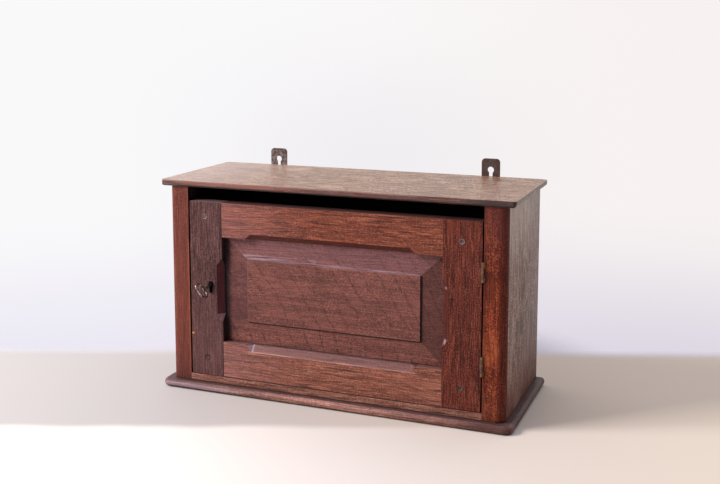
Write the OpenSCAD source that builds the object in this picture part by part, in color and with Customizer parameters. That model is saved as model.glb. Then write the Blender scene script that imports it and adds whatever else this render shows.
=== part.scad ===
// Small oak wall cabinet with one framed door, a fielded panel and a key lock.
// The front faces -Y, +X is the right-hand side and +Z is up.
// The origin is the middle of the carcass footprint, on the underside of the base.

/* [Carcass] */
// Width over the outer faces of the two posts
carcass_w = 460; // [420:2:560]
// Depth from the front faces of the posts to the back
carcass_d = 182; // [150:1:240]
// Height between the base board and the top board
carcass_h = 264; // [250:1:320]
// Width of each front post, seen from the front
post_w = 28.4; // [26:0.2:34]
// Depth of each front post, from front to back
post_d = 32; // [31:0.5:40]
// Radius of the rounded outer corner of each post
post_round = 10; // [3:0.5:12]
// Notch in the foot of the hinge-side post, where its rounding starts: width, depth and height
post_notch = [5, 4, 1.2]; // [1:0.1:8]
// Wood left in front of the side board, behind the end of that rounding
post_lip = 0.5; // [0.5:0.1:4]
// Thickness of the side boards
side_t = 12; // [9:0.5:14]
// Thickness of the back boards
back_t = 8; // [6:0.5:10]
// How far the back boards are let into each side board
back_lap = 6; // [5:0.5:8]
// Width of the lap joint between the two back boards
board_lap = 8; // [4:0.5:14]
// Share of the height that the lower back board takes
back_split = 0.52; // [0.35:0.01:0.65]
// Thickness of the bottom board
bottom_t = 9.5; // [8:0.5:14]
// Width of the glue blocks under the top board
block_w = 14; // [8:1:20]
// Length of the glue blocks
block_l = 40; // [20:1:50]

/* [Top board] */
// Thickness of the top board
top_t = 8.5; // [6:0.5:12]
// Overhang of the top board at the front
top_front = 5; // [2:0.5:12]
// Overhang of the top board at each side
top_side = 10.5; // [3:0.5:16]
// Radius under the front edge of the top board
top_front_r = 4.8; // [1:0.1:5.5]
// Radius under the side edges of the top board
top_side_r = 5.8; // [1:0.1:5.8]
// Corner radius of the top board at the front, seen from above
top_corner_r = 6; // [1:0.5:12]
// Corner radius of the top board at the back, seen from above
top_back_r = 8; // [1:0.5:12]

/* [Base board] */
// Thickness of the base board, whose edge is half round
base_t = 10.5; // [8:0.5:16]
// Overhang of the base board at the front
base_front = 11.5; // [6:0.5:20]
// Overhang of the base board at each side
base_side = 11.5; // [6:0.5:20]
// Radius of the front corners of the base board, seen from above
base_corner = 12; // [9:0.5:20]

/* [Door] */
// Thickness of the door frame
door_t = 20; // [18:0.5:24]
// Gap between the door and the post at the lock side
gap_lock = 2.5; // [1:0.1:4]
// Gap between the door and the post at the hinge side
gap_hinge = 2.1; // [1.5:0.1:3]
// Gap under the door
gap_bottom = 0.6; // [0.4:0.1:2]
// Open slot left above the door
slot_h = 18.7; // [10:0.1:30]
// Width of the stile at the lock side
stile_lock_w = 47.4; // [46:0.2:60]
// Width of the stile at the hinge side
stile_hinge_w = 49.1; // [46:0.1:60]
// Height of the top rail
rail_top_h = 46; // [40:0.5:60]
// Height of the bottom rail
rail_bottom_h = 48; // [40:0.5:60]
// Length of the tenons on the rails
tenon_l = 36; // [32:0.5:40]
// Thickness of the tenons
tenon_t = 6; // [5:0.5:7]
// Shoulder above and below each tenon
tenon_shoulder = 8; // [7.5:0.5:10]
// Clearance at the end of each tenon
tenon_end_gap = 0.3; // [0.1:0.1:0.8]
// Radius of the draw pegs
peg_r = 4; // [2.5:0.25:5]
// How far the pegs stand proud of the door
peg_proud = 0.5; // [0:0.1:1]
// Peg at the upper lock-side corner: from the edge, from the end
peg_upper_lock = [22.5, 19.5]; // [16:0.5:32]
// Peg at the upper hinge-side corner: from the edge, from the end
peg_upper_hinge = [25, 26]; // [16:0.5:32]
// Peg at the lower hinge-side corner: from the edge, from the end
peg_lower_hinge = [25, 27]; // [16:0.5:32]
// Peg at the lower lock-side corner: from the edge, from the end
peg_lower_lock = [22.5, 24]; // [16:0.5:32]

/* [Panel] */
// Depth of the groove that holds the panel
groove_d = 7; // [5:0.5:7]
// Width of the groove
groove_w = 4.8; // [4:0.1:5]
// Depth of the groove's front wall below the door face
groove_y = 8.8; // [8.2:0.1:9.5]
// Clearance of the panel edge in the groove, at each face
panel_gap = 0.2; // [0.1:0.05:0.4]
// Clearance of the panel edge at the bottom of the groove
panel_edge_gap = 0.8; // [0.3:0.1:0.9]
// Depth of the field's face below the door face
field_y = 4.5; // [3:0.1:5.5]
// Height of the small step round the field
field_step = 1.9; // [1:0.1:2.5]
// Bevel width at the lock side, from the frame to the field
bevel_lock = 34.5; // [20:0.5:45]
// Bevel width at the hinge side
bevel_hinge = 29.3; // [20:0.5:45]
// Bevel width at the top
bevel_top = 28.2; // [15:0.5:35]
// Bevel width at the bottom
bevel_bottom = 30; // [15:0.5:35]

/* [Stopped chamfers] */
// Width on the face of the chamfer along the top rail
chamfer_top = 7; // [4:0.5:10]
// Width on the face of the chamfer along the bottom rail
chamfer_bottom = 9; // [4:0.5:10]
// Width on the face of the chamfer on the lock-side stile
chamfer_lock = 8.5; // [4:0.5:10]
// Width on the face of the chamfer on the hinge-side stile
chamfer_hinge = 8; // [4:0.5:10]
// Depth of all the chamfers, from the door face
chamfer_depth = 7.5; // [4:0.5:8]
// Distance from the corners of the opening to the chamfers on the rails
stop_rail = 33.8; // [20:0.5:45]
// Distance from the corners of the opening to the chamfers on the stiles
stop_stile = 28; // [15:0.5:35]
// Length of the slanted stops on the rails
stop_rail_l = 7.7; // [4:0.1:12]
// Length of the slanted stops on the stiles
stop_stile_l = 9.5; // [4:0.1:12]

/* [Hinges] */
// Height of each hinge
hinge_h = 24.5; // [22:0.5:32]
// Width of each hinge leaf, from the door face inwards
leaf_w = 15; // [13:0.5:17]
// Thickness of the hinge leaves
leaf_t = 1.2; // [1:0.1:1.4]
// Radius of the hinge knuckles
knuckle_r = 1.9; // [1.8:0.05:2]
// Radius of the hinge pins
pin_r = 0.9; // [0.7:0.05:0.95]
// Running clearance between the pin and the door's knuckle
pin_gap = 0.05; // [0.03:0.01:0.08]
// How far the hinge axis stands in front of the door face
axis_proud = 1; // [0.5:0.1:1.5]
// Depth to which the post is cut for its hinge leaf
post_recess = 1.6; // [1.6:0.1:2.2]
// Distance from the door's bottom edge to the middle of the lower hinge
hinge_low = 58; // [40:1:80]
// Distance from the door's top edge to the middle of the upper hinge
hinge_high = 61; // [40:1:80]

/* [Lock and key] */
// Distance of the key's axis from the lock-side edge of the door
key_inset = 29.8; // [28:0.1:31]
// Height of the key's axis above the door's bottom edge
key_height = 125; // [95:1:140]
// Angle that the key is turned from the upright keyhole
key_turned = 38; // [0:1:60]
// Radius of the round part of the keyhole
keyhole_r = 4; // [3.5:0.1:4.5]
// Width of the keyhole's slot
keyhole_slot = 5; // [3.5:0.1:6]
// Depth of the keyhole's slot below the key's axis
keyhole_drop = 13; // [11:0.5:14]
// Thickness of the sheet that the lock is made of
lock_t = 1.5; // [1:0.1:2]
// Inside depth of the lock case
lock_depth = 7; // [6.5:0.1:8]
// Height of the bolt
bolt_h = 11; // [9:0.5:12]
// Thickness of the bolt
bolt_t = 6.4; // [5:0.1:6.4]
// How far a full turn of the key throws the bolt
bolt_throw = 8; // [6:0.5:8]
// Clearance round the bolt
bolt_gap = 0.3; // [0.2:0.05:0.5]
// Radius of the key's hollow shank
shank_r = 2.4; // [2.2:0.1:2.8]
// Radius of the pin that the shank turns on
drill_r = 1.15; // [0.9:0.05:1.3]
// Running clearance of the shank on that pin
drill_gap = 0.05; // [0.03:0.01:0.08]
// Reach of the key's bit from its axis
bit_r = 9; // [8.5:0.1:9.2]
// Thickness of the key's bit
bit_t = 2.4; // [1.6:0.1:2.8]
// Distance from the door face to the middle of the key's bow
bow_out = 25.6; // [20:0.2:32]
// Half the width of the bow, to the middle of its rim
bow_half_w = 10.1; // [8.5:0.1:12]
// Half the length of the bow, to the middle of its rim
bow_half_l = 6.6; // [5:0.1:8]
// Radius of the bow's rim
bow_rim = 1.4; // [1:0.1:1.8]

/* [Hangers and stop] */
// Width of the wall hangers
hanger_w = 25.3; // [20:0.1:32]
// Thickness of the wall hangers
hanger_t = 2; // [1.5:0.1:3]
// Height of the hangers above the top board
hanger_up = 24; // [22:0.5:36]
// Length of the hangers below the top face of the top board
hanger_down = 44; // [36:1:60]
// Distance of the left hanger's middle from the outer face of the left post
hanger_left_inset = 74; // [50:1:100]
// Distance of the right hanger's middle from the outer face of the right post
hanger_right_inset = 68; // [50:1:100]
// Corner radius of the hangers
hanger_round = 5; // [2:0.5:8]
// Radius of the round hole in each hanger
hang_hole_r = 4.4; // [3.5:0.1:5]
// Height of that hole above the top board
hang_hole_up = 8.6; // [7:0.2:14]
// Width of the slot that runs down from that hole
hang_slot = 5.2; // [3:0.1:5.4]
// Length of the door stop on the bottom board
stop_strip_l = 90; // [40:5:140]
// Width and height of the door stop
stop_strip = 10; // [6:1:16]
// Gap between the closed door and its stop
stop_gap = 0.3; // [0.2:0.1:1]

/* [Hidden] */
$fn = 48;

// Extra length that carries a cut clear of a face, or a form into the one it joins
over = 1;
// Small overlap that joins two forms which would otherwise only touch
bite = 0.01;

// Main planes of the carcass
half_w = carcass_w / 2;
front = -carcass_d / 2;
back = carcass_d / 2;
floor_z = base_t;
top_z = base_t + carcass_h;
inner_half = half_w - side_t;
post_face = half_w - post_w;
post_step = post_round + post_lip;
board_top = floor_z + bottom_t;

// Edges of the door and of the opening in its frame
door_left = -post_face + gap_lock;
door_right = post_face - gap_hinge;
door_low = board_top + gap_bottom;
door_high = top_z - slot_h;
sight_left = door_left + stile_lock_w;
sight_right = door_right - stile_hinge_w;
sight_low = door_low + rail_bottom_h;
sight_high = door_high - rail_top_h;
door_back = front + door_t;

// Wood left round the field, and the plane where the bevels meet its step
bevel_y = field_y + field_step;
tongue_y = groove_y + panel_gap;

// Hinge axis and hinge heights
post_leaf_x = post_face + post_recess - leaf_t;
axis_x = (door_right + post_leaf_x) / 2;
axis_y = front - axis_proud;
low_hinge_z = door_low + hinge_low;
high_hinge_z = door_high - hinge_high;
knuckle_gap = 0.2;
hinge_end_gap = 0.3;
hinge_screw_y = front + 0.57 * leaf_w;
hinge_screw_dz = 0.29 * hinge_h;
hinge_screw = [2.2, 1.1, 11];

// Lock, bolt and key
key_x = door_left + key_inset;
key_z = door_low + key_height;
lock_edge_gap = 1;
lock_x0 = door_left + lock_edge_gap;
lock_behind_key = 14.2;
lock_x1 = key_x + lock_behind_key;
case_below_bit = 5;
case_low = key_z - bit_r - case_below_bit;
flange_h = 11;
plate_y = door_back + lock_t;
cap_y = plate_y + lock_depth;
bit_bite = 1.7;
bolt_low = key_z + bit_r - bit_bite;
bolt_high = bolt_low + bolt_h;
bolt_mid_y = plate_y + lock_depth / 2;
bolt_tip_gap = 0.1;
bolt_tail_gap = 1.4;
bolt_tip = lock_x0 + bolt_tip_gap;
bolt_tail = lock_x1 - lock_t - bolt_tail_gap;
full_turn = 360;
bolt_back = bolt_throw * key_turned / full_turn;
bolt_out = bolt_throw - bolt_back;
stump_r = 1.5;
stump_behind_key = 6.5;
stump_x = key_x + stump_behind_key;
stump_z = (bolt_low + bolt_high) / 2;
talon_low = -3.6;
talon_high = bit_r + 1;
bit_clear = 0.4;
bit_side_gap = 0.7;
bit_l = lock_depth - 2 * bit_side_gap;
lock_screw = [2.8, 1.4, 12];
lock_screw_inset = 7;
mortise_gap = 0.5;
mortise_spare = 4;
mortise_d = bolt_out + mortise_spare;
spring_t = 0.5;
spring_w = 4.5;
spring_half = 16;
spring_rise = 4.4;
spring_gap = 0.1;
spring_low = bolt_high + bolt_gap;
case_high = spring_low + spring_rise + spring_t + spring_gap + lock_t;
collar_proud = 0.8;
drill_spare = 2;

// Nails and screws of the carcass
back_nail = [2.6, 1, 20];
side_nail = [1.5, 0.9, 24];
base_screw = [4, 2, 17];
hanger_screw = [3.4, 1.7, 8.5];
nail_head_t = 0.8;
base_screw_sunk = 0.3;
side_nail_behind = 20.2;
side_nail_y = front + side_nail_behind;
side_nail_zs = [floor_z + 0.19 * carcass_h, floor_z + 0.671 * carcass_h];
back_nail_inset = 12;
lap_nail_inset = 8;
hanger_screw_up = [10, 24];
hang_slot_below = 3;
block_ys = [front + 0.38 * carcass_d, front + 0.74 * carcass_d];
split_z = floor_z + back_split * carcass_h;

// Colours
dark_oak = [0.30, 0.16, 0.13];
red_oak = [0.46, 0.20, 0.13];
rail_oak = [0.50, 0.24, 0.16];
top_oak = [0.42, 0.30, 0.25];
side_oak = [0.40, 0.33, 0.30];
old_pine = [0.55, 0.42, 0.30];
iron = [0.25, 0.24, 0.24];
brass = [0.66, 0.52, 0.28];

// Board section with its lower corners rounded, centred on x, standing on y = 0
module under_rounded(w, t, r) {
    difference() {
        translate([-w / 2, 0]) square([w, t]);
        for (m = [0, 1])
            mirror([m, 0]) translate([w / 2 - r, r]) difference() {
                translate([0, -r - over]) square(r + over);
                circle(r);
            }
    }
}

// Countersunk wood screw along -Z, its head's face at z = 0. size is head radius, shank radius, length
module screw(size, slotted = true) {
    head_t = size[0] - size[1];
    slot_w = 0.25 * size[0];
    slot_d = 0.35 * head_t;
    difference() {
        union() {
            translate([0, 0, -head_t]) cylinder(h = head_t, r1 = size[1], r2 = size[0]);
            translate([0, 0, -size[2]]) cylinder(h = size[2] - head_t + bite, r = size[1]);
        }
        if (slotted)
            cube([3 * size[0], slot_w, 2 * slot_d], center = true);
    }
}

// Flat-headed nail along -Z, its head's face at z = 0. size is head radius, shank radius, length
module nail(size) {
    translate([0, 0, -nail_head_t]) cylinder(h = nail_head_t, r = size[0]);
    translate([0, 0, -size[2]]) cylinder(h = size[2], r = size[1]);
}

// Prism that cuts a stopped chamfer: the arris runs along X, the wood lies at +Y and +Z
module stopped_chamfer(length, face, stop) {
    slope = atan2(chamfer_depth, face);
    reach = face * chamfer_depth / norm([face, chamfer_depth]);
    flare = stop / reach;
    span = 3 * (face + chamfer_depth);
    rotate([slope, 0, 0])
        linear_extrude(span, center = true)
            polygon([
                [-length / 2 - flare * over, -over], [length / 2 + flare * over, -over],
                [length / 2 - stop, reach], [-length / 2 + stop, reach]
            ]);
}

// Prism of a YZ outline, run along X
module along_x(from, to) {
    translate([from, 0, 0]) rotate([90, 0, 90]) linear_extrude(to - from) children();
}

// Box given by its low and high corners
module block(low, high) {
    translate(low) cube(high - low);
}

// Places of the base screws, seen from above
base_screw_spots = [
    for (sx = [-1, 1]) for (sy = [front + 0.3 * carcass_d, back - 0.15 * carcass_d])
        [sx * (inner_half - 0.1 * carcass_w), sy]
];

module place_base_screws() {
    for (p = base_screw_spots)
        translate([p[0], p[1], base_screw_sunk]) rotate([180, 0, 0]) children();
}

module place_side_nails(side) {
    for (z = side_nail_zs)
        translate([side * half_w, side_nail_y, z]) rotate([0, side * 90, 0]) children();
}

// Heights of the nails in the back boards
back_nail_zs = [
    floor_z + back_nail_inset, (floor_z + split_z) / 2, split_z - board_lap - lap_nail_inset,
    split_z + board_lap + lap_nail_inset, (split_z + top_z) / 2, top_z - back_nail_inset
];

module place_back_nails(side) {
    for (z = back_nail_zs)
        translate([side * (inner_half + back_lap / 2), back, z]) rotate([-90, 0, 0]) children();
}

// Middle of each hanger and the heights of its two screws
hanger_xs = [-half_w + hanger_left_inset, half_w - hanger_right_inset];
board_face_z = top_z + top_t;
hanger_screw_zs = [for (up = hanger_screw_up) board_face_z - hanger_down + up];

module place_hanger_screws(x) {
    for (z = hanger_screw_zs)
        translate([x, back + hanger_t, z]) rotate([-90, 0, 0]) children();
}

// Half section of the base board: width w from its middle to the tip of its half-round edge
module base_section(w) {
    r = base_t / 2;
    square([w - r, base_t]);
    translate([w - r, r]) circle(r);
}

// Base board with a half-round edge along the front and both sides
module base_board() {
    hw = half_w + base_side;
    fy = front - base_front;
    color(dark_oak) difference() {
        union() {
            for (m = [0, 1])
                mirror([m, 0, 0]) {
                    translate([0, back, 0]) rotate([90, 0, 0])
                        linear_extrude(back - fy - base_corner) base_section(hw);
                    translate([hw - base_corner, fy + base_corner, 0]) rotate([0, 0, -90])
                        rotate_extrude(angle = 90) base_section(base_corner);
                    translate([0, fy + base_corner, 0]) rotate([90, 0, 90]) linear_extrude(hw - base_corner)
                        mirror([1, 0]) base_section(base_corner);
                }
        }
        place_base_screws() screw(base_screw, false);
        for (p = base_screw_spots)
            translate([p[0], p[1], -over]) cylinder(h = over + base_screw_sunk, r = base_screw[0]);
    }
}

// Bottom board, notched round the posts, with its front edge showing under the door
module bottom_board() {
    color(rail_oak) difference() {
        block([-inner_half, front, floor_z], [inner_half, back - back_t, board_top]);
        for (m = [0, 1])
            mirror([m, 0, 0])
                block([post_face, front - over, floor_z - over],
                      [half_w, front + post_d, board_top + over]);
        place_base_screws() screw(base_screw, false);
    }
}

// Top board: its front and side edges are rounded underneath and keep a sharp upper arris
module top_board() {
    hw = half_w + top_side;
    fy = front - top_front;
    depth = back - fy;
    color(top_oak) intersection() {
        translate([0, back, top_z]) rotate([90, 0, 0])
            linear_extrude(depth) under_rounded(2 * hw, top_t, top_side_r);
        translate([-hw, 0, top_z]) rotate([90, 0, 90]) linear_extrude(2 * hw) {
            translate([fy + depth, 0]) under_rounded(2 * depth, top_t, top_front_r);
        }
        translate([0, 0, top_z - over]) linear_extrude(top_t + 2 * over) {
            hull() for (s = [-1, 1]) {
                translate([s * (hw - top_corner_r), fy + top_corner_r]) circle(top_corner_r);
                translate([s * (hw - top_back_r), back - top_back_r]) circle(top_back_r);
            }
        }
    }
}

// Side board, from behind the post's lip to the back, rebated for the back boards
module side_board(side) {
    color(side_oak) difference() {
        mirror([side < 0 ? 1 : 0, 0, 0]) difference() {
            block([inner_half, front + post_step, floor_z], [half_w, back, top_z]);
            block([inner_half - over, back - back_t, floor_z - over],
                  [inner_half + back_lap, back + over, top_z + over]);
        }
        place_side_nails(side) nail(side_nail);
        place_back_nails(side) nail(back_nail);
    }
}

module left_side_board() {
    side_board(-1);
}

module right_side_board() {
    side_board(1);
}

// Post with a rounded outer corner and a rebate behind it for the side board
module post(side) {
    mirror([side < 0 ? 1 : 0, 0, 0]) translate([0, 0, floor_z]) linear_extrude(carcass_h)
        difference() {
            union() {
                translate([post_face, front]) square([post_w - post_round, post_d]);
                translate([post_face, front + post_round]) square([post_w, post_d - post_round]);
                translate([half_w - post_round, front + post_round]) circle(post_round);
            }
            translate([inner_half, front + post_step]) square([side_t + over, post_d]);
        }
}

module left_front_post() {
    color(red_oak) difference() {
        post(-1);
        place_side_nails(-1) nail(side_nail);
        block([-post_face - mortise_d, bolt_mid_y - bolt_t / 2 - mortise_gap, bolt_low - mortise_gap],
              [-post_face + over, bolt_mid_y + bolt_t / 2 + mortise_gap, bolt_high + mortise_gap]);
    }
}

module right_front_post() {
    notch_x = half_w - post_round - 1;
    color(red_oak) difference() {
        post(1);
        block([notch_x, front - over, floor_z - over],
              [notch_x + post_notch[0], front + post_notch[1], floor_z + post_notch[2]]);
        place_side_nails(1) nail(side_nail);
        for (z = [low_hinge_z, high_hinge_z]) {
            block([post_face - over, front - over, z - hinge_h / 2 - hinge_end_gap],
                  [post_face + post_recess, front + leaf_w, z + hinge_h / 2 + hinge_end_gap]);
            place_post_screws(z) screw(hinge_screw, false);
        }
    }
}

// Back boards, lapped at half thickness where they meet
module lower_back_board() {
    half_lap = inner_half + back_lap;
    color(old_pine) difference() {
        union() {
            block([-half_lap, back - back_t, floor_z], [half_lap, back, split_z]);
            block([-half_lap, back - back_t, split_z - over],
                  [half_lap, back - back_t / 2, split_z + board_lap]);
        }
        for (s = [-1, 1])
            place_back_nails(s) nail(back_nail);
    }
}

module upper_back_board() {
    half_lap = inner_half + back_lap;
    color(old_pine) difference() {
        union() {
            block([-half_lap, back - back_t, split_z + board_lap], [half_lap, back, top_z]);
            block([-half_lap, back - back_t / 2, split_z],
                  [half_lap, back, split_z + board_lap + over]);
        }
        for (s = [-1, 1])
            place_back_nails(s) nail(back_nail);
        for (x = hanger_xs)
            place_hanger_screws(x) screw(hanger_screw, false);
    }
}

// Four triangular blocks glued under the top board, against the side boards
module glue_blocks() {
    color(old_pine)
        for (s = [-1, 1]) for (y = block_ys)
            mirror([s < 0 ? 1 : 0, 0, 0])
                translate([inner_half, y + block_l / 2, top_z]) rotate([90, 0, 0])
                    linear_extrude(block_l) polygon([[0, 0], [-block_w, 0], [0, -block_w]]);
}

// Strip on the bottom board that the closed door comes up against
module door_stop() {
    color(rail_oak)
        block([sight_left, door_back + stop_gap, board_top],
              [sight_left + stop_strip_l, door_back + stop_gap + stop_strip, board_top + stop_strip]);
}

// Iron hanger screwed to the back, with a round hole and a slot running down from it
module hanger(x) {
    hole_z = board_face_z + hang_hole_up;
    slot_l = hang_hole_up + hang_slot_below;
    color(iron) difference() {
        translate([x, back + hanger_t, 0]) rotate([90, 0, 0]) linear_extrude(hanger_t) {
            translate([-hanger_w / 2, board_face_z - hanger_down])
                square([hanger_w, hanger_down + hanger_up - hanger_round]);
            translate([-hanger_w / 2 + hanger_round, board_face_z])
                square([hanger_w - 2 * hanger_round, hanger_up]);
            for (s = [-1, 1])
                translate([s * (hanger_w / 2 - hanger_round), board_face_z + hanger_up - hanger_round])
                    circle(hanger_round);
        }
        translate([x, back + hanger_t + over, hole_z]) rotate([90, 0, 0]) {
            cylinder(h = hanger_t + 2 * over, r = hang_hole_r);
            translate([-hang_slot / 2, -slot_l, 0])
                cube([hang_slot, slot_l, hanger_t + 2 * over]);
            translate([0, -slot_l, 0]) cylinder(h = hanger_t + 2 * over, r = hang_slot / 2);
        }
        place_hanger_screws(x) screw(hanger_screw, false);
    }
}

module left_hanger() {
    hanger(hanger_xs[0]);
}

module right_hanger() {
    hanger(hanger_xs[1]);
}

module hanger_screws() {
    color(iron)
        for (x = hanger_xs)
            place_hanger_screws(x) screw(hanger_screw);
}

module back_nails() {
    color(iron)
        for (s = [-1, 1])
            place_back_nails(s) nail(back_nail);
}

module side_nails() {
    color(iron)
        for (s = [-1, 1])
            place_side_nails(s) nail(side_nail);
}

module base_screws() {
    color(iron) place_base_screws() screw(base_screw);
}

// Screws of the hinge leaves: into the post towards +X, into the door towards -X
module place_post_screws(z) {
    for (s = [-1, 1])
        translate([post_leaf_x, hinge_screw_y, z + s * hinge_screw_dz]) rotate([0, -90, 0]) children();
}

module place_door_screws(z) {
    for (s = [-1, 1])
        translate([door_right, hinge_screw_y, z + s * hinge_screw_dz]) rotate([0, 90, 0]) children();
}

// One length of knuckle on the hinge axis, with its hole
module knuckle(low, high, hole_r) {
    translate([axis_x, axis_y, low]) difference() {
        cylinder(h = high - low, r = knuckle_r);
        translate([0, 0, -over]) cylinder(h = high - low + 2 * over, r = hole_r);
    }
}

// Leaf let into the post, with the two outer knuckles
module post_leaf(z) {
    third = hinge_h / 6;
    color(brass) difference() {
        union() {
            block([post_leaf_x, axis_y + knuckle_r + hinge_end_gap, z - hinge_h / 2],
                  [post_leaf_x + leaf_t, front + leaf_w, z + hinge_h / 2]);
            for (span = [[-hinge_h / 2, -third - knuckle_gap / 2], [third + knuckle_gap / 2, hinge_h / 2]]) {
                knuckle(z + span[0], z + span[1], pin_r);
                block([post_leaf_x, axis_y, z + span[0]],
                      [post_leaf_x + leaf_t, front + leaf_w / 2, z + span[1]]);
            }
        }
        place_post_screws(z) screw(hinge_screw, false);
    }
}

module upper_hinge_post_leaf() {
    post_leaf(high_hinge_z);
}

module lower_hinge_post_leaf() {
    post_leaf(low_hinge_z);
}

// Leaf let into the edge of the door, with the middle knuckle
module door_leaf(z) {
    third = hinge_h / 6 - knuckle_gap / 2;
    color(brass) difference() {
        union() {
            block([door_right - leaf_t, axis_y + knuckle_r + hinge_end_gap, z - hinge_h / 2],
                  [door_right, front + leaf_w, z + hinge_h / 2]);
            knuckle(z - third, z + third, pin_r + pin_gap);
            block([door_right - leaf_t, axis_y, z - third], [door_right, front + leaf_w / 2, z + third]);
        }
        place_door_screws(z) screw(hinge_screw, false);
    }
}

module upper_hinge_door_leaf() {
    door_leaf(high_hinge_z);
}

module lower_hinge_door_leaf() {
    door_leaf(low_hinge_z);
}

module hinge_pins() {
    color(brass)
        for (z = [low_hinge_z, high_hinge_z])
            translate([axis_x, axis_y, z - hinge_h / 2]) cylinder(h = hinge_h, r = pin_r);
}

module post_leaf_screws() {
    color(brass)
        for (z = [low_hinge_z, high_hinge_z])
            place_post_screws(z) screw(hinge_screw);
}

module door_leaf_screws() {
    color(brass)
        for (z = [low_hinge_z, high_hinge_z])
            place_door_screws(z) screw(hinge_screw);
}

// Peg places on the door, as x and z
peg_spots = [
    [door_left + peg_upper_lock[0], door_high - peg_upper_lock[1]],
    [door_right - peg_upper_hinge[0], door_high - peg_upper_hinge[1]],
    [door_right - peg_lower_hinge[0], door_low + peg_lower_hinge[1]],
    [door_left + peg_lower_lock[0], door_low + peg_lower_lock[1]]
];

module draw_pegs() {
    color(dark_oak)
        for (p = peg_spots)
            translate([p[0], front - peg_proud, p[1]]) rotate([-90, 0, 0])
                cylinder(h = door_t + peg_proud, r = peg_r);
}

module peg_holes() {
    for (p = peg_spots)
        translate([p[0], front - over, p[1]]) rotate([-90, 0, 0])
            cylinder(h = door_t + 2 * over, r = peg_r);
}

// Heights between which each tenon lies
low_tenon = [door_low + tenon_shoulder, sight_low - tenon_shoulder];
high_tenon = [sight_high + tenon_shoulder, door_high - tenon_shoulder];
tenon_y = front + groove_y + groove_w / 2 - tenon_t / 2;

// Mortises of one stile: dir is +1 when the stile lies to the right of its sight edge
module mortises(edge, dir) {
    depth = tenon_l + tenon_end_gap;
    for (t = [low_tenon, high_tenon])
        block([min(edge - dir * over, edge + dir * depth), tenon_y, t[0]],
              [max(edge - dir * over, edge + dir * depth), tenon_y + tenon_t, t[1]]);
}

// Groove for the panel in a stile, running a little past the opening at each end
module stile_groove(edge, dir) {
    block([min(edge - dir * over, edge + dir * groove_d), front + groove_y, sight_low - groove_d],
          [max(edge - dir * over, edge + dir * groove_d), front + groove_y + groove_w, sight_high + groove_d]);
}

// Outline of the keyhole, the key's axis at the origin and the slot down
module keyhole_outline() {
    circle(keyhole_r);
    translate([-keyhole_slot / 2, -keyhole_drop + keyhole_slot / 2])
        square([keyhole_slot, keyhole_drop - keyhole_slot / 2]);
    translate([0, -keyhole_drop + keyhole_slot / 2]) circle(keyhole_slot / 2);
}

module keyhole_cut(from_y, to_y) {
    translate([key_x, to_y, key_z]) rotate([90, 0, 0]) linear_extrude(to_y - from_y) keyhole_outline();
}

// Screw places of the lock, as x and z
lock_screw_spots = [
    for (x = [lock_x0 + lock_screw_inset, lock_x1 - lock_screw_inset])
        for (z = [case_low - flange_h / 2, case_high + flange_h / 2])
            [x, z]
];

module place_lock_screws() {
    for (p = lock_screw_spots)
        translate([p[0], plate_y, p[1]]) rotate([-90, 0, 0]) children();
}

module left_stile() {
    chamfer_l = sight_high - sight_low - 2 * stop_stile;
    color(dark_oak) difference() {
        block([door_left, front, door_low], [sight_left, door_back, door_high]);
        mortises(sight_left, -1);
        stile_groove(sight_left, -1);
        peg_holes();
        keyhole_cut(front - over, door_back + over);
        place_lock_screws() screw(lock_screw, false);
        translate([sight_left, front, (sight_low + sight_high) / 2]) rotate([0, -90, 0])
            stopped_chamfer(chamfer_l, chamfer_lock, stop_stile_l);
    }
}

module right_stile() {
    chamfer_l = sight_high - sight_low - 2 * stop_stile;
    color(red_oak) difference() {
        block([sight_right, front, door_low], [door_right, door_back, door_high]);
        mortises(sight_right, 1);
        stile_groove(sight_right, 1);
        peg_holes();
        for (z = [low_hinge_z, high_hinge_z]) {
            block([door_right - leaf_t, front - over, z - hinge_h / 2 - hinge_end_gap],
                  [door_right + over, front + leaf_w, z + hinge_h / 2 + hinge_end_gap]);
            place_door_screws(z) screw(hinge_screw, false);
        }
        translate([sight_right, front, (sight_low + sight_high) / 2]) rotate([0, 90, 0])
            stopped_chamfer(chamfer_l, chamfer_hinge, stop_stile_l);
    }
}

// Rail between the stiles with its two tenons. edge is its inner edge, dir +1 when the wood lies above it
module rail(low, high, tenon, edge, dir, face) {
    chamfer_l = sight_right - sight_left - 2 * stop_rail;
    difference() {
        union() {
            block([sight_left, front, low], [sight_right, door_back, high]);
            block([sight_left - tenon_l, tenon_y, tenon[0]],
                  [sight_right + tenon_l, tenon_y + tenon_t, tenon[1]]);
        }
        block([sight_left - over, front + groove_y, min(edge - dir * over, edge + dir * groove_d)],
              [sight_right + over, front + groove_y + groove_w, max(edge - dir * over, edge + dir * groove_d)]);
        peg_holes();
        translate([(sight_left + sight_right) / 2, front, edge]) mirror([0, 0, dir < 0 ? 1 : 0])
            stopped_chamfer(chamfer_l, face, stop_rail_l);
    }
}

module top_rail() {
    color(rail_oak) rail(sight_high, door_high, high_tenon, sight_high, 1, chamfer_top);
}

module bottom_rail() {
    color(rail_oak) rail(door_low, sight_low, low_tenon, sight_low, -1, chamfer_bottom);
}

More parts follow.
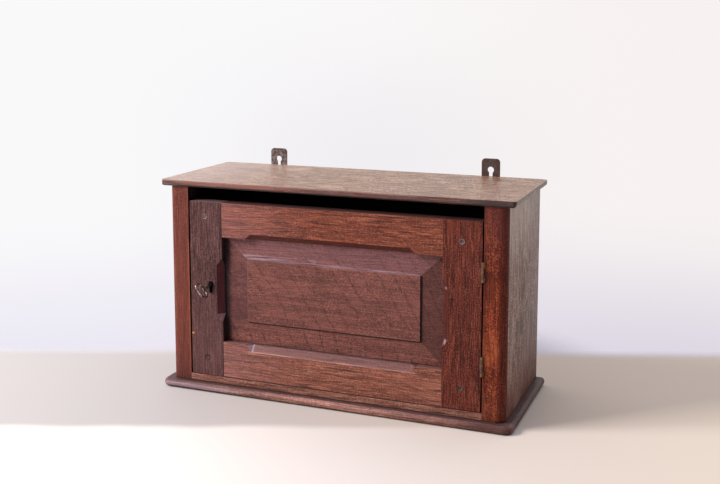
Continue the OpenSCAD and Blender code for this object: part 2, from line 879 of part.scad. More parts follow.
// Panel with a bevel all round that rises to a small step and a flat field
module raised_panel() {
    lip = groove_d - panel_edge_gap;
    back_y = front + groove_y + groove_w - panel_gap;
    field = [
        [sight_left + bevel_lock, front + field_y, sight_low + bevel_bottom],
        [sight_right - bevel_hinge, front + bevel_y + over, sight_high - bevel_top]
    ];
    color(rail_oak) {
        block([sight_left - lip, front + tongue_y, sight_low - lip],
              [sight_right + lip, back_y, sight_high + lip]);
        block(field[0], field[1]);
        intersection() {
            translate([0, 0, sight_low]) linear_extrude(sight_high - sight_low) polygon([
                [sight_left, front + tongue_y], [field[0][0], front + bevel_y],
                [field[1][0], front + bevel_y], [sight_right, front + tongue_y],
                [sight_right, front + tongue_y + over], [sight_left, front + tongue_y + over]
            ]);
            along_x(sight_left, sight_right) polygon([
                [front + tongue_y, sight_low], [front + bevel_y, field[0][2]],
                [front + bevel_y, field[1][2]], [front + tongue_y, sight_high],
                [front + tongue_y + over, sight_high], [front + tongue_y + over, sight_low]
            ]);
        }
    }
}

// Lock case: plate against the door, a rim round the works and a stump that guides the bolt
module lock_case() {
    color(iron) difference() {
        union() {
            block([lock_x0, door_back, case_low - flange_h], [lock_x1, plate_y, case_high + flange_h]);
            difference() {
                block([lock_x0, plate_y, case_low], [lock_x1, cap_y, case_high]);
                block([lock_x0 + lock_t, plate_y - over, case_low + lock_t],
                      [lock_x1 - lock_t, cap_y + over, case_high - lock_t]);
            }
            translate([stump_x, plate_y - bite, stump_z]) rotate([-90, 0, 0])
                cylinder(h = lock_depth, r = stump_r);
        }
        block([lock_x0 - over, bolt_mid_y - bolt_t / 2 - bolt_gap, bolt_low - bolt_gap],
              [lock_x0 + lock_t + over, bolt_mid_y + bolt_t / 2 + bolt_gap, bolt_high + bolt_gap]);
        keyhole_cut(door_back - over, plate_y + over);
        place_lock_screws() screw(lock_screw, false);
    }
}

// Cover of the works, with the pin that the hollow key turns on
module lock_cap() {
    color(iron) {
        block([lock_x0, cap_y, case_low], [lock_x1, cap_y + lock_t, case_high]);
        translate([key_x, plate_y + bolt_gap, key_z]) rotate([-90, 0, 0])
            cylinder(h = lock_depth, r = drill_r);
    }
}

module lock_screws() {
    color(iron) place_lock_screws() screw(lock_screw);
}

// Bowed leaf spring between the bolt and the top of the case
module lock_spring() {
    radius = (spring_half * spring_half + spring_rise * spring_rise) / (2 * spring_rise);
    half_angle = asin(spring_half / radius);
    color(brass)
        translate([(lock_x0 + lock_x1) / 2, bolt_mid_y + spring_w / 2, spring_low + radius]) rotate([90, 0, 0])
            rotate([0, 0, -90 - half_angle]) rotate_extrude(angle = 2 * half_angle)
                translate([radius - spring_t, 0]) square([spring_t, spring_w]);
}

// Bolt with a guide slot for the stump and the talon that the key's bit works in
module lock_bolt() {
    slot_r = stump_r + bolt_gap;
    color(brass) difference() {
        block([bolt_tip, bolt_mid_y - bolt_t / 2, bolt_low],
              [bolt_tail, bolt_mid_y + bolt_t / 2, bolt_high]);
        block([key_x + talon_low, bolt_mid_y - bolt_t, bolt_low - over],
              [key_x + talon_high, bolt_mid_y + bolt_t, key_z + bit_r + bit_clear]);
        for (dx = [-bolt_back, bolt_out])
            translate([stump_x + dx, bolt_mid_y - bolt_t, stump_z]) rotate([-90, 0, 0])
                cylinder(h = 2 * bolt_t, r = slot_r);
        block([stump_x - bolt_back, bolt_mid_y - bolt_t, stump_z - slot_r],
              [stump_x + bolt_out, bolt_mid_y + bolt_t, stump_z + slot_r]);
    }
}

// Key, drawn upright with its axis along Y through the origin, the door's face at y = 0
module upright_key() {
    tip = door_t + lock_t + lock_depth - bolt_gap;
    bit_from = door_t + lock_t + bit_side_gap;
    drill_l = lock_depth + drill_spare;
    end_x = bow_half_w - bow_half_l;
    difference() {
        union() {
            translate([0, -bow_out + bow_half_l, 0]) rotate([-90, 0, 0])
                cylinder(h = bow_out - bow_half_l + tip, r = shank_r);
            translate([0, -bow_out + bow_half_l + bow_rim, 0]) rotate([-90, 0, 0])
                cylinder(h = bow_rim, r = shank_r + collar_proud);
            translate([-bit_t / 2, bit_from, -bit_r]) cube([bit_t, bit_l, bit_r]);
        }
        translate([0, tip - drill_l, 0]) rotate([-90, 0, 0])
            cylinder(h = drill_l + over, r = drill_r + drill_gap);
    }
    translate([0, -bow_out, 0]) rotate([0, -90, 0])
        for (s = [-1, 1]) {
            translate([s * end_x, 0, 0]) rotate([0, 0, s > 0 ? -90 : 90])
                rotate_extrude(angle = 180) translate([bow_half_l, 0]) circle(bow_rim);
            translate([0, s * bow_half_l, 0]) rotate([0, 90, 0])
                cylinder(h = 2 * end_x, r = bow_rim, center = true);
        }
}

module key() {
    color(iron) translate([key_x, front, key_z]) rotate([0, -key_turned, 0]) upright_key();
}

base_board();
bottom_board();
top_board();
left_side_board();
right_side_board();
left_front_post();
right_front_post();
lower_back_board();
upper_back_board();
glue_blocks();
door_stop();
left_hanger();
right_hanger();
hanger_screws();
back_nails();
side_nails();
base_screws();
upper_hinge_post_leaf();
lower_hinge_post_leaf();
hinge_pins();
post_leaf_screws();
left_stile();
right_stile();
top_rail();
bottom_rail();
raised_panel();
draw_pegs();
upper_hinge_door_leaf();
lower_hinge_door_leaf();
door_leaf_screws();
lock_case();
lock_cap();
lock_screws();
lock_spring();
lock_bolt();
key();
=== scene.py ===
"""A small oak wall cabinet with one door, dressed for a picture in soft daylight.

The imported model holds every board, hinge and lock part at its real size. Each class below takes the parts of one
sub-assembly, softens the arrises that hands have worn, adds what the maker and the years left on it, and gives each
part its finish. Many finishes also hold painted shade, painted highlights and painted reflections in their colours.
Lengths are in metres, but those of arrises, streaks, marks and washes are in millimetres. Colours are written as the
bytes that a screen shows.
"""
import logging
import math
from collections.abc import Callable
from dataclasses import dataclass
from enum import Enum

import bpy
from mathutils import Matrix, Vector


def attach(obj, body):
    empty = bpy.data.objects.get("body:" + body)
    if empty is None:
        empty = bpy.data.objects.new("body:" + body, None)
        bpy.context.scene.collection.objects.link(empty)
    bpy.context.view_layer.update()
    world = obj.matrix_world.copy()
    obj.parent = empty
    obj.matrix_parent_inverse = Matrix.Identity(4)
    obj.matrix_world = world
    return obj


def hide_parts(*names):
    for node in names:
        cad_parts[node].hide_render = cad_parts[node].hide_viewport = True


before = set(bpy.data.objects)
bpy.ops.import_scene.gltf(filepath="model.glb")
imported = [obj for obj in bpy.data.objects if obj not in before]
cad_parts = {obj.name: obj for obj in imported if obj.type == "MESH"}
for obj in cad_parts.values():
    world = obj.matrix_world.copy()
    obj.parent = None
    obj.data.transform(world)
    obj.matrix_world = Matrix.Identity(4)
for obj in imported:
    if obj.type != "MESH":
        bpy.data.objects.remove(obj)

LOG = logging.getLogger("wall_cabinet")
Triple = tuple[float, float, float]
Span = tuple[float, float]
Limits = Span | None
Colour = Triple
Piece = bpy.types.Object
Socket = bpy.types.NodeSocket
Value = Socket | float
Tint = Socket | Colour
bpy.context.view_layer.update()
MM = 0.001
MERGE_DISTANCE = 0.01 * MM
FLAT_ANGLE = math.radians(0.2)
ARRIS_ANGLE = math.radians(32)
ARRIS_FACETS = 2
SMOOTH_ANGLE = math.radians(40)
WIDE_FACES_FIRST = 90
UP: Triple = (0.0, 0.0, 1.0)
DOWN: Triple = (0.0, 0.0, -1.0)
LEFT: Triple = (-1.0, 0.0, 0.0)
RIGHT: Triple = (1.0, 0.0, 0.0)

# Painted shade in the corners, a dusting with painted sky sheen on faces that look up, and painted shade inside the
# carcass, within its limits in millimetres.
CORNER_PAINTED_SHADE: Colour = (34, 18, 16)
CORNER_SHADE_SHARE = 0.8
CORNER_SHADE_REACH = 4 * MM
DUST_AND_SHEEN: Colour = (170, 142, 150)
INSIDE_PAINTED_SHADE: Colour = (48, 34, 27)
INSIDE_SHADE_SHARE = 0.85
INSIDE_SHADE_SOFT = 0.2
CABIN: tuple[Limits, Limits, Limits] = ((-218.2, 218.2), (-84, 88), (19.9, 274.7))

# How masks rise: each pair is where a value starts to show and where it shows in full.
WORN_TURN: Span = (0.02, 0.25)
CORNER_SHADE: Span = (0.85, 0.35)
SPOT_EDGE: Span = (1.0, 0.6)
DUST_AND_SHEEN_SLOPE: Span = (0.1, 0.6)
TILT_SOFT = 0.05
DARK_SPECKS: Span = (0.48, 0.32)
LIGHT_SPECKS: Span = (0.54, 0.68)
DARK_PATCHES: Span = (0.44, 0.32)
LIGHT_PATCHES: Span = (0.55, 0.70)
WORN_PATCHES: Span = (0.38, 0.60)
RING_PATCHES: Span = (0.36, 0.60)
RING_FALL: Span = (0.88, 0.99)
RING_DARKEST = 0.85
LEAST_SHOWN = 0.25
PIT_STEP: Span = (0.5, 0.75)
COAT_SOFT = 0.08

# Lumps for each metre, where three values go along and across the fibres.
BENDS: Triple = (7.0, 16.0, 16.0)
BEND_WIDTH = 6 * MM
LUMPS: Triple = (12.0, 24.0, 24.0)
WANDER: Triple = (14.0, 60.0, 60.0)
SPECKS = 560.0
SPOT_LUMPS = 700.0
SPOT_RAGGED = 0.7
PITS_TO_A_LUMP = 7
TABLE_LUMPS = 5.0

# How far the wear reaches, how deep a coat is, and how the patterns raise or dull a face.
RAYS = 6
OAK_WEAR = 1.3 * MM
METAL_WEAR = 0.5 * MM
COAT_DEPTH = 0.15 * MM
DASHES_RISE = 0.6
THREADS_SINK = 0.5
PATCHES_DULL = 0.16
PORES_DULL = 0.2


def linear(colour: Colour) -> tuple[float, float, float, float]:
    """Turns a colour as a screen shows it into the linear one that a shader takes.

    Args:
        colour: Red, green and blue, from 0 to 255.

    Returns:
        Linear red, green and blue from 0 to 1, and an alpha of 1.
    """
    channels = []
    for byte in colour:
        share = byte / 255
        channels.append(share / 12.92 if share <= 0.04045 else ((share + 0.055) / 1.055) ** 2.4)
    return (*channels, 1.0)


class Grain(Enum):
    """The way that the wood's fibres run, as the turn that brings them onto X."""

    ALONG_X = (0.0, 0.0, 0.0)
    ALONG_Y = (0.0, 0.0, -math.pi / 2)
    ALONG_Z = (0.0, math.pi / 2, 0.0)


class Recipe:
    """The nodes of one material, with a short method for each kind of step."""

    def __init__(self, name: str, owner: bpy.types.World | None = None) -> None:
        """Starts an empty material, or the empty light of a room.

        Args:
            name: The material's name.
            owner: The room, where the recipe isn't a material.
        """
        self.material = owner or bpy.data.materials.new(name)
        self.material.use_nodes = True
        self.tree = self.material.node_tree
        self.tree.nodes.clear()
        self.place = self.node("TexCoord").outputs["Generated" if owner else "Object"]

    def node(self, kind: str, inputs: dict | None = None, **settings: object) -> bpy.types.Node:
        """Adds a node.

        Args:
            kind: The node's type, without the ShaderNode that all begin with.
            inputs: What each input takes: a socket to link, or a constant.
            **settings: The node's own properties.

        Returns:
            The new node.
        """
        made = self.tree.nodes.new("ShaderNode" + kind)
        for key, value in settings.items():
            setattr(made, key, value)
        for key, value in (inputs or {}).items():
            if isinstance(value, Socket):
                self.tree.links.new(value, made.inputs[key])
            else:
                made.inputs[key].default_value = value
        return made

    def math(self, operation: str, first: Value, second: Value = 0.0, clamp: bool = False) -> Socket:
        """Joins two values with one sum, named as the Math node names it, and can keep the result from 0 to 1."""
        return self.node("Math", {0: first, 1: second}, operation=operation, use_clamp=clamp).outputs[0]

    def times(self, first: Value, second: Value) -> Socket:
        """Multiplies two values."""
        return self.math("MULTIPLY", first, second)

    def plus(self, first: Value, second: Value) -> Socket:
        """Adds two values."""
        return self.math("ADD", first, second)

    def minus(self, first: Value, second: Value) -> Socket:
        """Takes the second value from the first."""
        return self.math("SUBTRACT", first, second)

    def scaled(self, vector: Socket, factors: Triple) -> Socket:
        """Multiplies a vector, one factor for each axis."""
        return self.node("VectorMath", {0: vector, 1: factors}, operation="MULTIPLY").outputs[0]

    def moved(self, vector: Socket, shift: Socket | Triple) -> Socket:
        """Adds a shift to a vector."""
        return self.node("VectorMath", {0: vector, 1: shift}, operation="ADD").outputs[0]

    def along(self, vector: Socket, way: Socket | Triple) -> Socket:
        """Measures how far a vector reaches along a direction."""
        return self.node("VectorMath", {0: vector, 1: way}, operation="DOT_PRODUCT").outputs["Value"]

    def length(self, vector: Socket) -> Socket:
        """Measures a vector's length."""
        return self.node("VectorMath", {0: vector}, operation="LENGTH").outputs["Value"]

    def axes(self, vector: Socket) -> list[Socket]:
        """Splits a vector into its values on X, Y and Z."""
        return list(self.node("SeparateXYZ", {0: vector}).outputs)

    def noise(self, vector: Socket, scale: float = 1.0, detail: float = 2.0, rough: float = 0.5,
              output: str = "Fac") -> Socket:
        """Adds noise, with its lumps for each unit of the vector, its finer layers and the strength of those."""
        inputs = {"Vector": vector, "Scale": scale, "Detail": detail, "Roughness": rough}
        return self.node("TexNoise", inputs).outputs[output]

    def step(self, value: Value, low: float, high: float, bottom: float = 0.0, top: float = 1.0) -> Socket:
        """Turns a value into a soft step, which is at the bottom up to low and at the top from high on."""
        inputs = {"Value": value, "From Min": low, "From Max": high, "To Min": bottom, "To Max": top}
        return self.node("MapRange", inputs, interpolation_type="SMOOTHSTEP").outputs["Result"]

    def mix(self, share: Value, first: Tint, second: Tint) -> Socket:
        """Mixes two colours, and the share is how much of the second one shows."""
        colours = [c if isinstance(c, Socket) else linear(c) for c in (first, second)]
        return self.node("Mix", {0: share, 6: colours[0], 7: colours[1]}, data_type="RGBA").outputs[2]

    def lay(self, colour: Tint, mask: Socket, share: float, tint: Tint) -> Socket:
        """Lays a share of a tint over a colour, where a mask lets it show."""
        return self.mix(self.times(mask, share), colour, tint)

    def relief(self, height: Socket, strength: float, depth: float) -> Socket:
        """Turns a height from 0 to 1 into a bumpy normal, with its real depth in metres."""
        return self.node("Bump", {"Height": height, "Strength": strength, "Distance": depth}).outputs[0]

    def worn_edges(self, radius: float) -> Socket:
        """Finds the arrises, where a rounded normal leaves the true one.

        Args:
            radius: How far from the arris the wear reaches.

        Returns:
            A mask that is 1 on the arrises.
        """
        rounded = self.node("Bevel", {"Radius": radius}, samples=RAYS).outputs[0]
        true = self.node("NewGeometry").outputs["Normal"]
        return self.step(self.minus(1.0, self.along(rounded, true)), *WORN_TURN)

    def corners(self, reach: float) -> Socket:
        """Finds the inner corners by ambient occlusion, for painted shade as far out as it reaches."""
        shade = self.node("AmbientOcclusion", {"Distance": reach}, samples=RAYS)
        return self.step(shade.outputs["AO"], *CORNER_SHADE)

    def facing(self, way: Triple, low: float, high: float) -> Socket:
        """Finds the faces that look a certain way.

        Args:
            way: The direction.
            low: The least share of the normal along it that counts.
            high: The share that counts in full.

        Returns:
            A mask that is 1 on such faces.
        """
        world = self.node("NewGeometry").outputs["True Normal"]
        own = self.node("VectorTransform", {0: world}, vector_type="NORMAL", convert_from="WORLD",
                        convert_to="OBJECT").outputs[0]
        return self.step(self.along(own, way), low, high)

    def region(self, limits: tuple[Limits, Limits, Limits], soft: float) -> Socket:
        """Finds a box-shaped region with soft sides.

        Args:
            limits: Its limits on each axis in millimetres, or None where it has none.
            soft: Width of the soft edge in millimetres.

        Returns:
            A mask that is 1 inside.
        """
        mask = None
        for value, span in zip(self.axes(self.place), limits):
            if span:
                start, end = span
                rising = self.step(value, (start - soft) * MM, (start + soft) * MM)
                falling = self.step(value, (end - soft) * MM, (end + soft) * MM, 1.0, 0.0)
                shown = self.times(rising, falling)
                mask = self.times(mask, shown) if mask else shown
        return mask or self.plus(1.0, 0.0)

    def spot(self, centre: Triple, size: Triple) -> Socket:
        """Finds an oval spot with a ragged edge.

        Args:
            centre: The spot's middle in millimetres.
            size: Its half width on each axis in millimetres.

        Returns:
            A mask that is 1 in the spot's middle.
        """
        aside = self.moved(self.place, tuple(-c * MM for c in centre))
        apart = self.length(self.scaled(aside, tuple(1 / (half * MM) for half in size)))
        rough = self.noise(self.place, SPOT_LUMPS, detail=1.0)
        return self.step(self.plus(apart, self.times(self.minus(rough, 0.5), SPOT_RAGGED)), *SPOT_EDGE)

    def surface(self, inputs: dict) -> bpy.types.Material:
        """Closes the recipe with a principled shader.

        Args:
            inputs: The shader's inputs.

        Returns:
            The finished material.
        """
        shader = self.node("BsdfPrincipled", inputs)
        self.node("OutputMaterial", {"Surface": shader.outputs[0]})
        return self.material


@dataclass(frozen=True)
class Mark:
    """A spot of another colour, such as a chip, a nail hole, a rubbed place, a painted highlight or painted shade in a
    hole.

    Attributes:
        centre: Its middle in millimetres.
        size: Its half width on each axis in millimetres.
        colour: Its colour.
        share: How much of that colour shows.
    """

    centre: Triple
    size: Triple
    colour: Colour
    share: float = 0.9


@dataclass(frozen=True)
class Wash:
    """A soft-edged region of another colour, such as a painted sheen, a painted shade line in a gap, a painted shaded
    chamfer or a darker foot.

    Attributes:
        colour: Its colour.
        share: How much of that colour shows.
        across: Its limits from left to right, in millimetres as the next three are.
        depth: Its limits from front to back.
        height: Its limits from the floor up.
        soft: Width of its soft edge.
        broken: How far the streaks of the wood break it up.
        facing: The way that its faces look, or None for all faces.
        tilt: The least share of the normal along that way.
    """

    colour: Colour
    share: float
    across: Limits = None
    depth: Limits = None
    height: Limits = None
    soft: float = 0.5
    broken: float = 0.0
    facing: Triple | None = None
    tilt: float = 0.05

    def mask(self, recipe: Recipe, streaks: Socket | None = None) -> Socket:
        """Finds where the wash lies.

        Args:
            recipe: The material under way.
            streaks: The streaks that break it up, where the material has them.

        Returns:
            A mask that is 1 where it lies.
        """
        shown = recipe.region((self.across, self.depth, self.height), self.soft)
        if self.facing:
            shown = recipe.times(shown, recipe.facing(self.facing, self.tilt, self.tilt + TILT_SOFT))
        if self.broken:
            shown = recipe.times(shown, recipe.minus(1.0, recipe.times(streaks, self.broken)))
        return shown


@dataclass(frozen=True)
class Streaks:
    """Noise that is drawn out along the fibres.

    Attributes:
        length: Length of a streak in millimetres.
        width: Width of a streak in millimetres.
        layer: Keeps layers of streaks apart.
        start: The noise's value where a streak starts to show.
        full: The value where it shows in full.
    """

    length: float
    width: float
    layer: int
    start: float
    full: float

    def mask(self, recipe: Recipe, fibres: Socket, seed: float) -> Socket:
        """Draws the streaks.

        Args:
            recipe: The material under way.
            fibres: Coordinates with the fibres along X.
            seed: The board's own seed.

        Returns:
            A mask that is 1 in the streaks.
        """
        shift = seed * 3.1 + self.layer
        long, wide = 1 / (self.length * MM), 1 / (self.width * MM)
        drawn = recipe.scaled(fibres, (long, wide, wide))
        noise = recipe.noise(recipe.moved(drawn, (shift, shift * 0.7, shift * 1.3)))
        return recipe.step(noise, self.start, self.full)


# Broad streaks, fine streaks, dark dashes and light dashes.
STREAKS = (
    Streaks(100, 9, 1, 0.36, 0.66),
    Streaks(60, 1.1, 3, 0.42, 0.60),
    Streaks(28, 1.0, 7, 0.52, 0.60),
    Streaks(30, 1.0, 11, 0.53, 0.62),
)


@dataclass(frozen=True)
class OakLayers:
    """The patterns of one board, each from 0 to 1.

    Attributes:
        broad: Wide streaks along the fibres.
        fine: Narrow streaks along the fibres.
        ring: The dark part of the growth rings.
        pore: Short dark dashes.
        glint: Short light dashes.
        speck: Small lumps.
        patch: Large lumps.
    """

    broad: Socket
    fine: Socket
    ring: Socket
    pore: Socket
    glint: Socket
    speck: Socket
    patch: Socket


@dataclass(frozen=True)
class OakFinish:
    """Old stained and waxed wood. Each board has its own finish, but the back boards share one.

    Attributes:
        name: The material's name.
        slot: The name of a material slot; not used.
        tone: The colour over most of the face.
        deep: The colour of stain held in pores and rings.
        pale: The colour of rubbed fibres and arrises.
        grain: The way that the fibres run.
        seed: Shifts the pattern.
        ring: Width of a growth ring.
        heart: Where the tree's heart lay across the fibres, from the origin.
        lean: Slope of the heart's line against the board.
        figure: Strength of the growth rings.
        pores: Strength of the dark dashes.
        glints: Strength of the light dashes.
        threads: Strength of the narrow streaks.
        grit: Strength of the small lumps.
        mottle: Strength of the large patches.
        wear: Strength of the rubbed arrises.
        rough: Roughness of the waxed face.
        sheen: Strength of its reflections.
        wax: How much polish lies over it.
        depth: Depth of the open grain.
        dust_and_sheen: How much of a dusting and painted sky sheen lies on faces that look up.
        line: Share of a ring that is dark.
        waver: How far the rings waver.
        washes: Soft regions of other colours.
        marks: Spots of other colours.
        shaded_inside: Whether faces inside the carcass get painted shade.
    """

    name: str
    slot: str
    tone: Colour
    deep: Colour
    pale: Colour
    grain: Grain
    seed: float
    ring: float = 5 * MM
    heart: Span = (0.09, -0.05)
    lean: float = 0.0
    figure: float = 0.3
    pores: float = 0.8
    glints: float = 0.55
    threads: float = 0.7
    grit: float = 0.55
    mottle: float = 0.3
    wear: float = 0.5
    rough: float = 0.52
    sheen: float = 0.25
    wax: float = 0.0
    depth: float = 0.4 * MM
    dust_and_sheen: float = 0.4
    line: float = 0.5
    waver: float = 11 * MM
    washes: tuple[Wash, ...] = ()
    marks: tuple[Mark, ...] = ()
    shaded_inside: bool = True

    def rings(self, recipe: Recipe, fibres: Socket, patch: Socket) -> Socket:
        """Makes the growth rings that the board's faces cut through.

        Args:
            recipe: The material under way.
            fibres: Coordinates with the fibres along X.
            patch: Large lumps that let the rings fade in places.

        Returns:
            A mask that is 1 in the dark part of each ring.
        """
        x, y, z = recipe.axes(fibres)
        across = recipe.plus(recipe.minus(y, self.heart[0]), recipe.times(x, self.lean))
        deep = recipe.minus(z, self.heart[1])
        radius = recipe.math("SQRT", recipe.plus(recipe.times(across, across), recipe.times(deep, deep)))
        wander = recipe.noise(recipe.scaled(fibres, WANDER), detail=3.0)
        turns = recipe.plus(recipe.math("DIVIDE", radius, self.ring), recipe.times(wander, self.waver / self.ring))
        year = recipe.math("FRACT", turns)
        rise = recipe.step(year, RING_DARKEST - self.line, RING_DARKEST)
        fall = recipe.step(year, *RING_FALL, 1.0, 0.0)
        return recipe.times(recipe.times(rise, fall), recipe.step(patch, *RING_PATCHES, LEAST_SHOWN))

    def layers(self, recipe: Recipe) -> OakLayers:
        """Makes the patterns that the colour and the relief share.

        Args:
            recipe: The material under way.

        Returns:
            The patterns.
        """
        turned = recipe.node("Mapping", {"Vector": recipe.place, "Rotation": self.grain.value}).outputs[0]
        start = (self.seed * 1.7, self.seed * 0.13, self.seed * 0.21)
        bend = recipe.noise(recipe.moved(recipe.scaled(turned, BENDS), start), detail=1.0, output="Color")
        swing = recipe.scaled(recipe.moved(bend, (-0.5, -0.5, -0.5)), (0.0, BEND_WIDTH, BEND_WIDTH))
        fibres = recipe.moved(turned, swing)
        patch = recipe.noise(recipe.moved(recipe.scaled(fibres, LUMPS), start), detail=4.0, rough=0.6)
        ring = self.rings(recipe, fibres, patch)
        gathered = recipe.plus(0.45, recipe.times(ring, 0.55))
        speck = recipe.noise(recipe.moved(fibres, start), SPECKS, detail=1.0, rough=0.6)
        broad, fine, dark, light = [kind.mask(recipe, fibres, self.seed) for kind in STREAKS]
        return OakLayers(broad, fine, ring, recipe.times(dark, gathered), light, speck, patch)

    def stain(self, recipe: Recipe, layers: OakLayers) -> Socket:
        """Mixes the colour of the stained wood.

        Args:
            recipe: The material under way.
            layers: The patterns.

        Returns:
            The colour's socket.
        """
        pit = tuple(0.4 * c for c in self.deep)
        coats = (
            (layers.broad, 0.55, self.deep),
            (layers.fine, self.threads, self.deep),
            (layers.ring, self.figure, self.deep),
            (layers.glint, self.glints, self.pale),
            (recipe.step(layers.speck, *DARK_SPECKS), self.grit, self.deep),
            (recipe.step(layers.speck, *LIGHT_SPECKS), 0.8 * self.grit, self.pale),
            (recipe.step(layers.patch, *DARK_PATCHES), self.mottle, self.deep),
            (recipe.step(layers.patch, *LIGHT_PATCHES), 0.7 * self.mottle, self.pale),
            (layers.pore, self.pores, pit),
        )
        colour = self.tone
        for mask, share, tint in coats:
            colour = recipe.lay(colour, mask, share, tint)
        for wash in self.washes:
            colour = recipe.lay(colour, wash.mask(recipe, layers.fine), wash.share, wash.colour)
        return colour

    def age(self, recipe: Recipe, patch: Socket, colour: Socket) -> Socket:
        """Adds wear, a dusting with painted sky sheen, spots, painted corner shade and painted shade inside the carcass
        to the stained wood.

        Args:
            recipe: The material under way.
            patch: Large lumps that let the wear fade in places.
            colour: The stained wood's colour.

        Returns:
            The colour's socket.
        """
        rubbed = recipe.times(recipe.worn_edges(OAK_WEAR), recipe.step(patch, *WORN_PATCHES, LEAST_SHOWN))
        colour = recipe.lay(colour, rubbed, self.wear, self.pale)
        # A dusting together with painted sky sheen, mauve on the faces that look up.
        if self.dust_and_sheen:
            colour = recipe.lay(colour, recipe.facing(UP, *DUST_AND_SHEEN_SLOPE), self.dust_and_sheen, DUST_AND_SHEEN)
        for mark in self.marks:
            colour = recipe.lay(colour, recipe.spot(mark.centre, mark.size), mark.share, mark.colour)
        # Painted shade in the inner corners, found by ambient occlusion.
        colour = recipe.lay(colour, recipe.corners(CORNER_SHADE_REACH), CORNER_SHADE_SHARE, CORNER_PAINTED_SHADE)
        # Painted shade on the faces inside the carcass.
        if self.shaded_inside:
            colour = recipe.lay(colour, recipe.region(CABIN, INSIDE_SHADE_SOFT), INSIDE_SHADE_SHARE, INSIDE_PAINTED_SHADE)
        return colour

    def make(self) -> bpy.types.Material:
        """Builds the material.

        Returns:
            The finished material.
        """
        recipe = Recipe(self.name)
        layers = self.layers(recipe)
        colour = self.age(recipe, layers.patch, self.stain(recipe, layers))
        raised = recipe.minus(recipe.times(layers.glint, DASHES_RISE), layers.pore)
        raised = recipe.minus(raised, recipe.times(layers.fine, THREADS_SINK))
        dull = recipe.plus(self.rough - PATCHES_DULL / 2, recipe.times(layers.patch, PATCHES_DULL))
        dull = recipe.plus(dull, recipe.times(layers.pore, PORES_DULL))
        normal = recipe.relief(raised, 0.8, self.depth)
        return recipe.surface({"Base Color": colour, "Roughness": dull, "Normal": normal, "IOR": 1.5,
                               "Specular IOR Level": self.sheen, "Coat Weight": self.wax, "Coat Roughness": 0.22})


@dataclass(frozen=True)
class MetalFinish:
    """Old metal, with a darker coat of rust or tarnish over part of it.

    Attributes:
        name: The material's name.
        slot: The name of a material slot; not used.
        bare: Colour of the metal where it shows.
        coat: Colour of the rust or tarnish.
        cover: How much of the face is coated, from 0 to 1.
        bare_rough: Roughness of the bare metal.
        coat_rough: Roughness of the coat.
        lump: Lumps of the coat for each metre.
        bright: How bright the rubbed arrises are.
        washes: Soft regions of other colours.
    """

    name: str
    slot: str
    bare: Colour
    coat: Colour
    cover: float
    bare_rough: float
    coat_rough: float
    lump: float = 160.0
    bright: float = 0.5
    washes: tuple[Wash, ...] = ()

    def make(self) -> bpy.types.Material:
        """Builds the material.

        Returns:
            The finished material.
        """
        recipe = Recipe(self.name)
        lumps = recipe.noise(recipe.place, self.lump, detail=4.0, rough=0.6)
        pits = recipe.noise(recipe.place, self.lump * PITS_TO_A_LUMP)
        middle = 0.5 + (self.cover - 0.5) * 0.5
        edge = recipe.times(recipe.worn_edges(METAL_WEAR), self.bright)
        coated = recipe.math("SUBTRACT", recipe.step(lumps, middle + COAT_SOFT, middle - COAT_SOFT), edge, clamp=True)
        spotted = recipe.mix(recipe.step(pits, *PIT_STEP), self.coat, tuple(0.6 * c for c in self.coat))
        colour = recipe.mix(coated, self.bare, spotted)
        for wash in self.washes:
            shown = wash.mask(recipe)
            colour = recipe.lay(colour, shown, wash.share, wash.colour)
            coated = recipe.math("MAXIMUM", coated, shown)
        rough = recipe.plus(self.bare_rough, recipe.times(coated, self.coat_rough - self.bare_rough))
        height = recipe.plus(recipe.times(lumps, 0.7), recipe.times(pits, 0.3))
        return recipe.surface({"Base Color": colour, "Metallic": recipe.minus(1.0, recipe.times(coated, 0.75)),
                               "Roughness": rough, "Normal": recipe.relief(height, 0.5, COAT_DEPTH)})


Finish = OakFinish | MetalFinish

# Painted shade: a dark line along the door's foot, in the gap above the bottom board.
DOOR_FOOT_GAP_SHADE = Wash((36, 18, 14), 0.85, height=(19, 21.5), soft=0.4)
# Painted sheen: the rails' left part lightened with a mauve veil, the reflection of the light to the left.
RAIL_PAINTED_SHEEN = Wash((164, 122, 126), 0.3, across=(-300, -90), soft=80, broken=0.35)
PANEL_FRONT = (-90, -79)
BASE_OAK = OakFinish(
    "base_oak", "dark_oak", (172, 112, 98), (94, 54, 46), (212, 166, 150), Grain.ALONG_X, 1.0, wear=0.4, rough=0.44,
    sheen=0.35, dust_and_sheen=0.12,
    washes=(
        Wash((56, 28, 20), 0.92, across=(226, 260), depth=(-85, 100), soft=4),
        Wash((70, 44, 42), 0.75, across=(-300, -160), soft=60),
        Wash((78, 38, 32), 0.6, across=(140, 300), soft=90),
        # Painted shade on the narrow top face behind the moulding.
        Wash((44, 18, 14), 0.8, across=(-236, 236), depth=(-97.8, -80), facing=UP, tilt=0.85),
    ),
    marks=(
        # Painted highlight along the left part of the moulding's nose.
        Mark((-210, -102.5, 6), (110, 5, 3), (194, 166, 182), 0.42),
        Mark((230, -102.5, 5), (70, 8, 9), (66, 30, 24), 0.6),
    ),
)
BOTTOM_OAK = OakFinish(
    "bottom_oak", "rail_oak", (172, 114, 100), (104, 58, 46), (198, 146, 124), Grain.ALONG_X, 2.0, dust_and_sheen=0.2,
    washes=(Wash((40, 20, 18), 0.8, height=(9, 11.6)),),
)
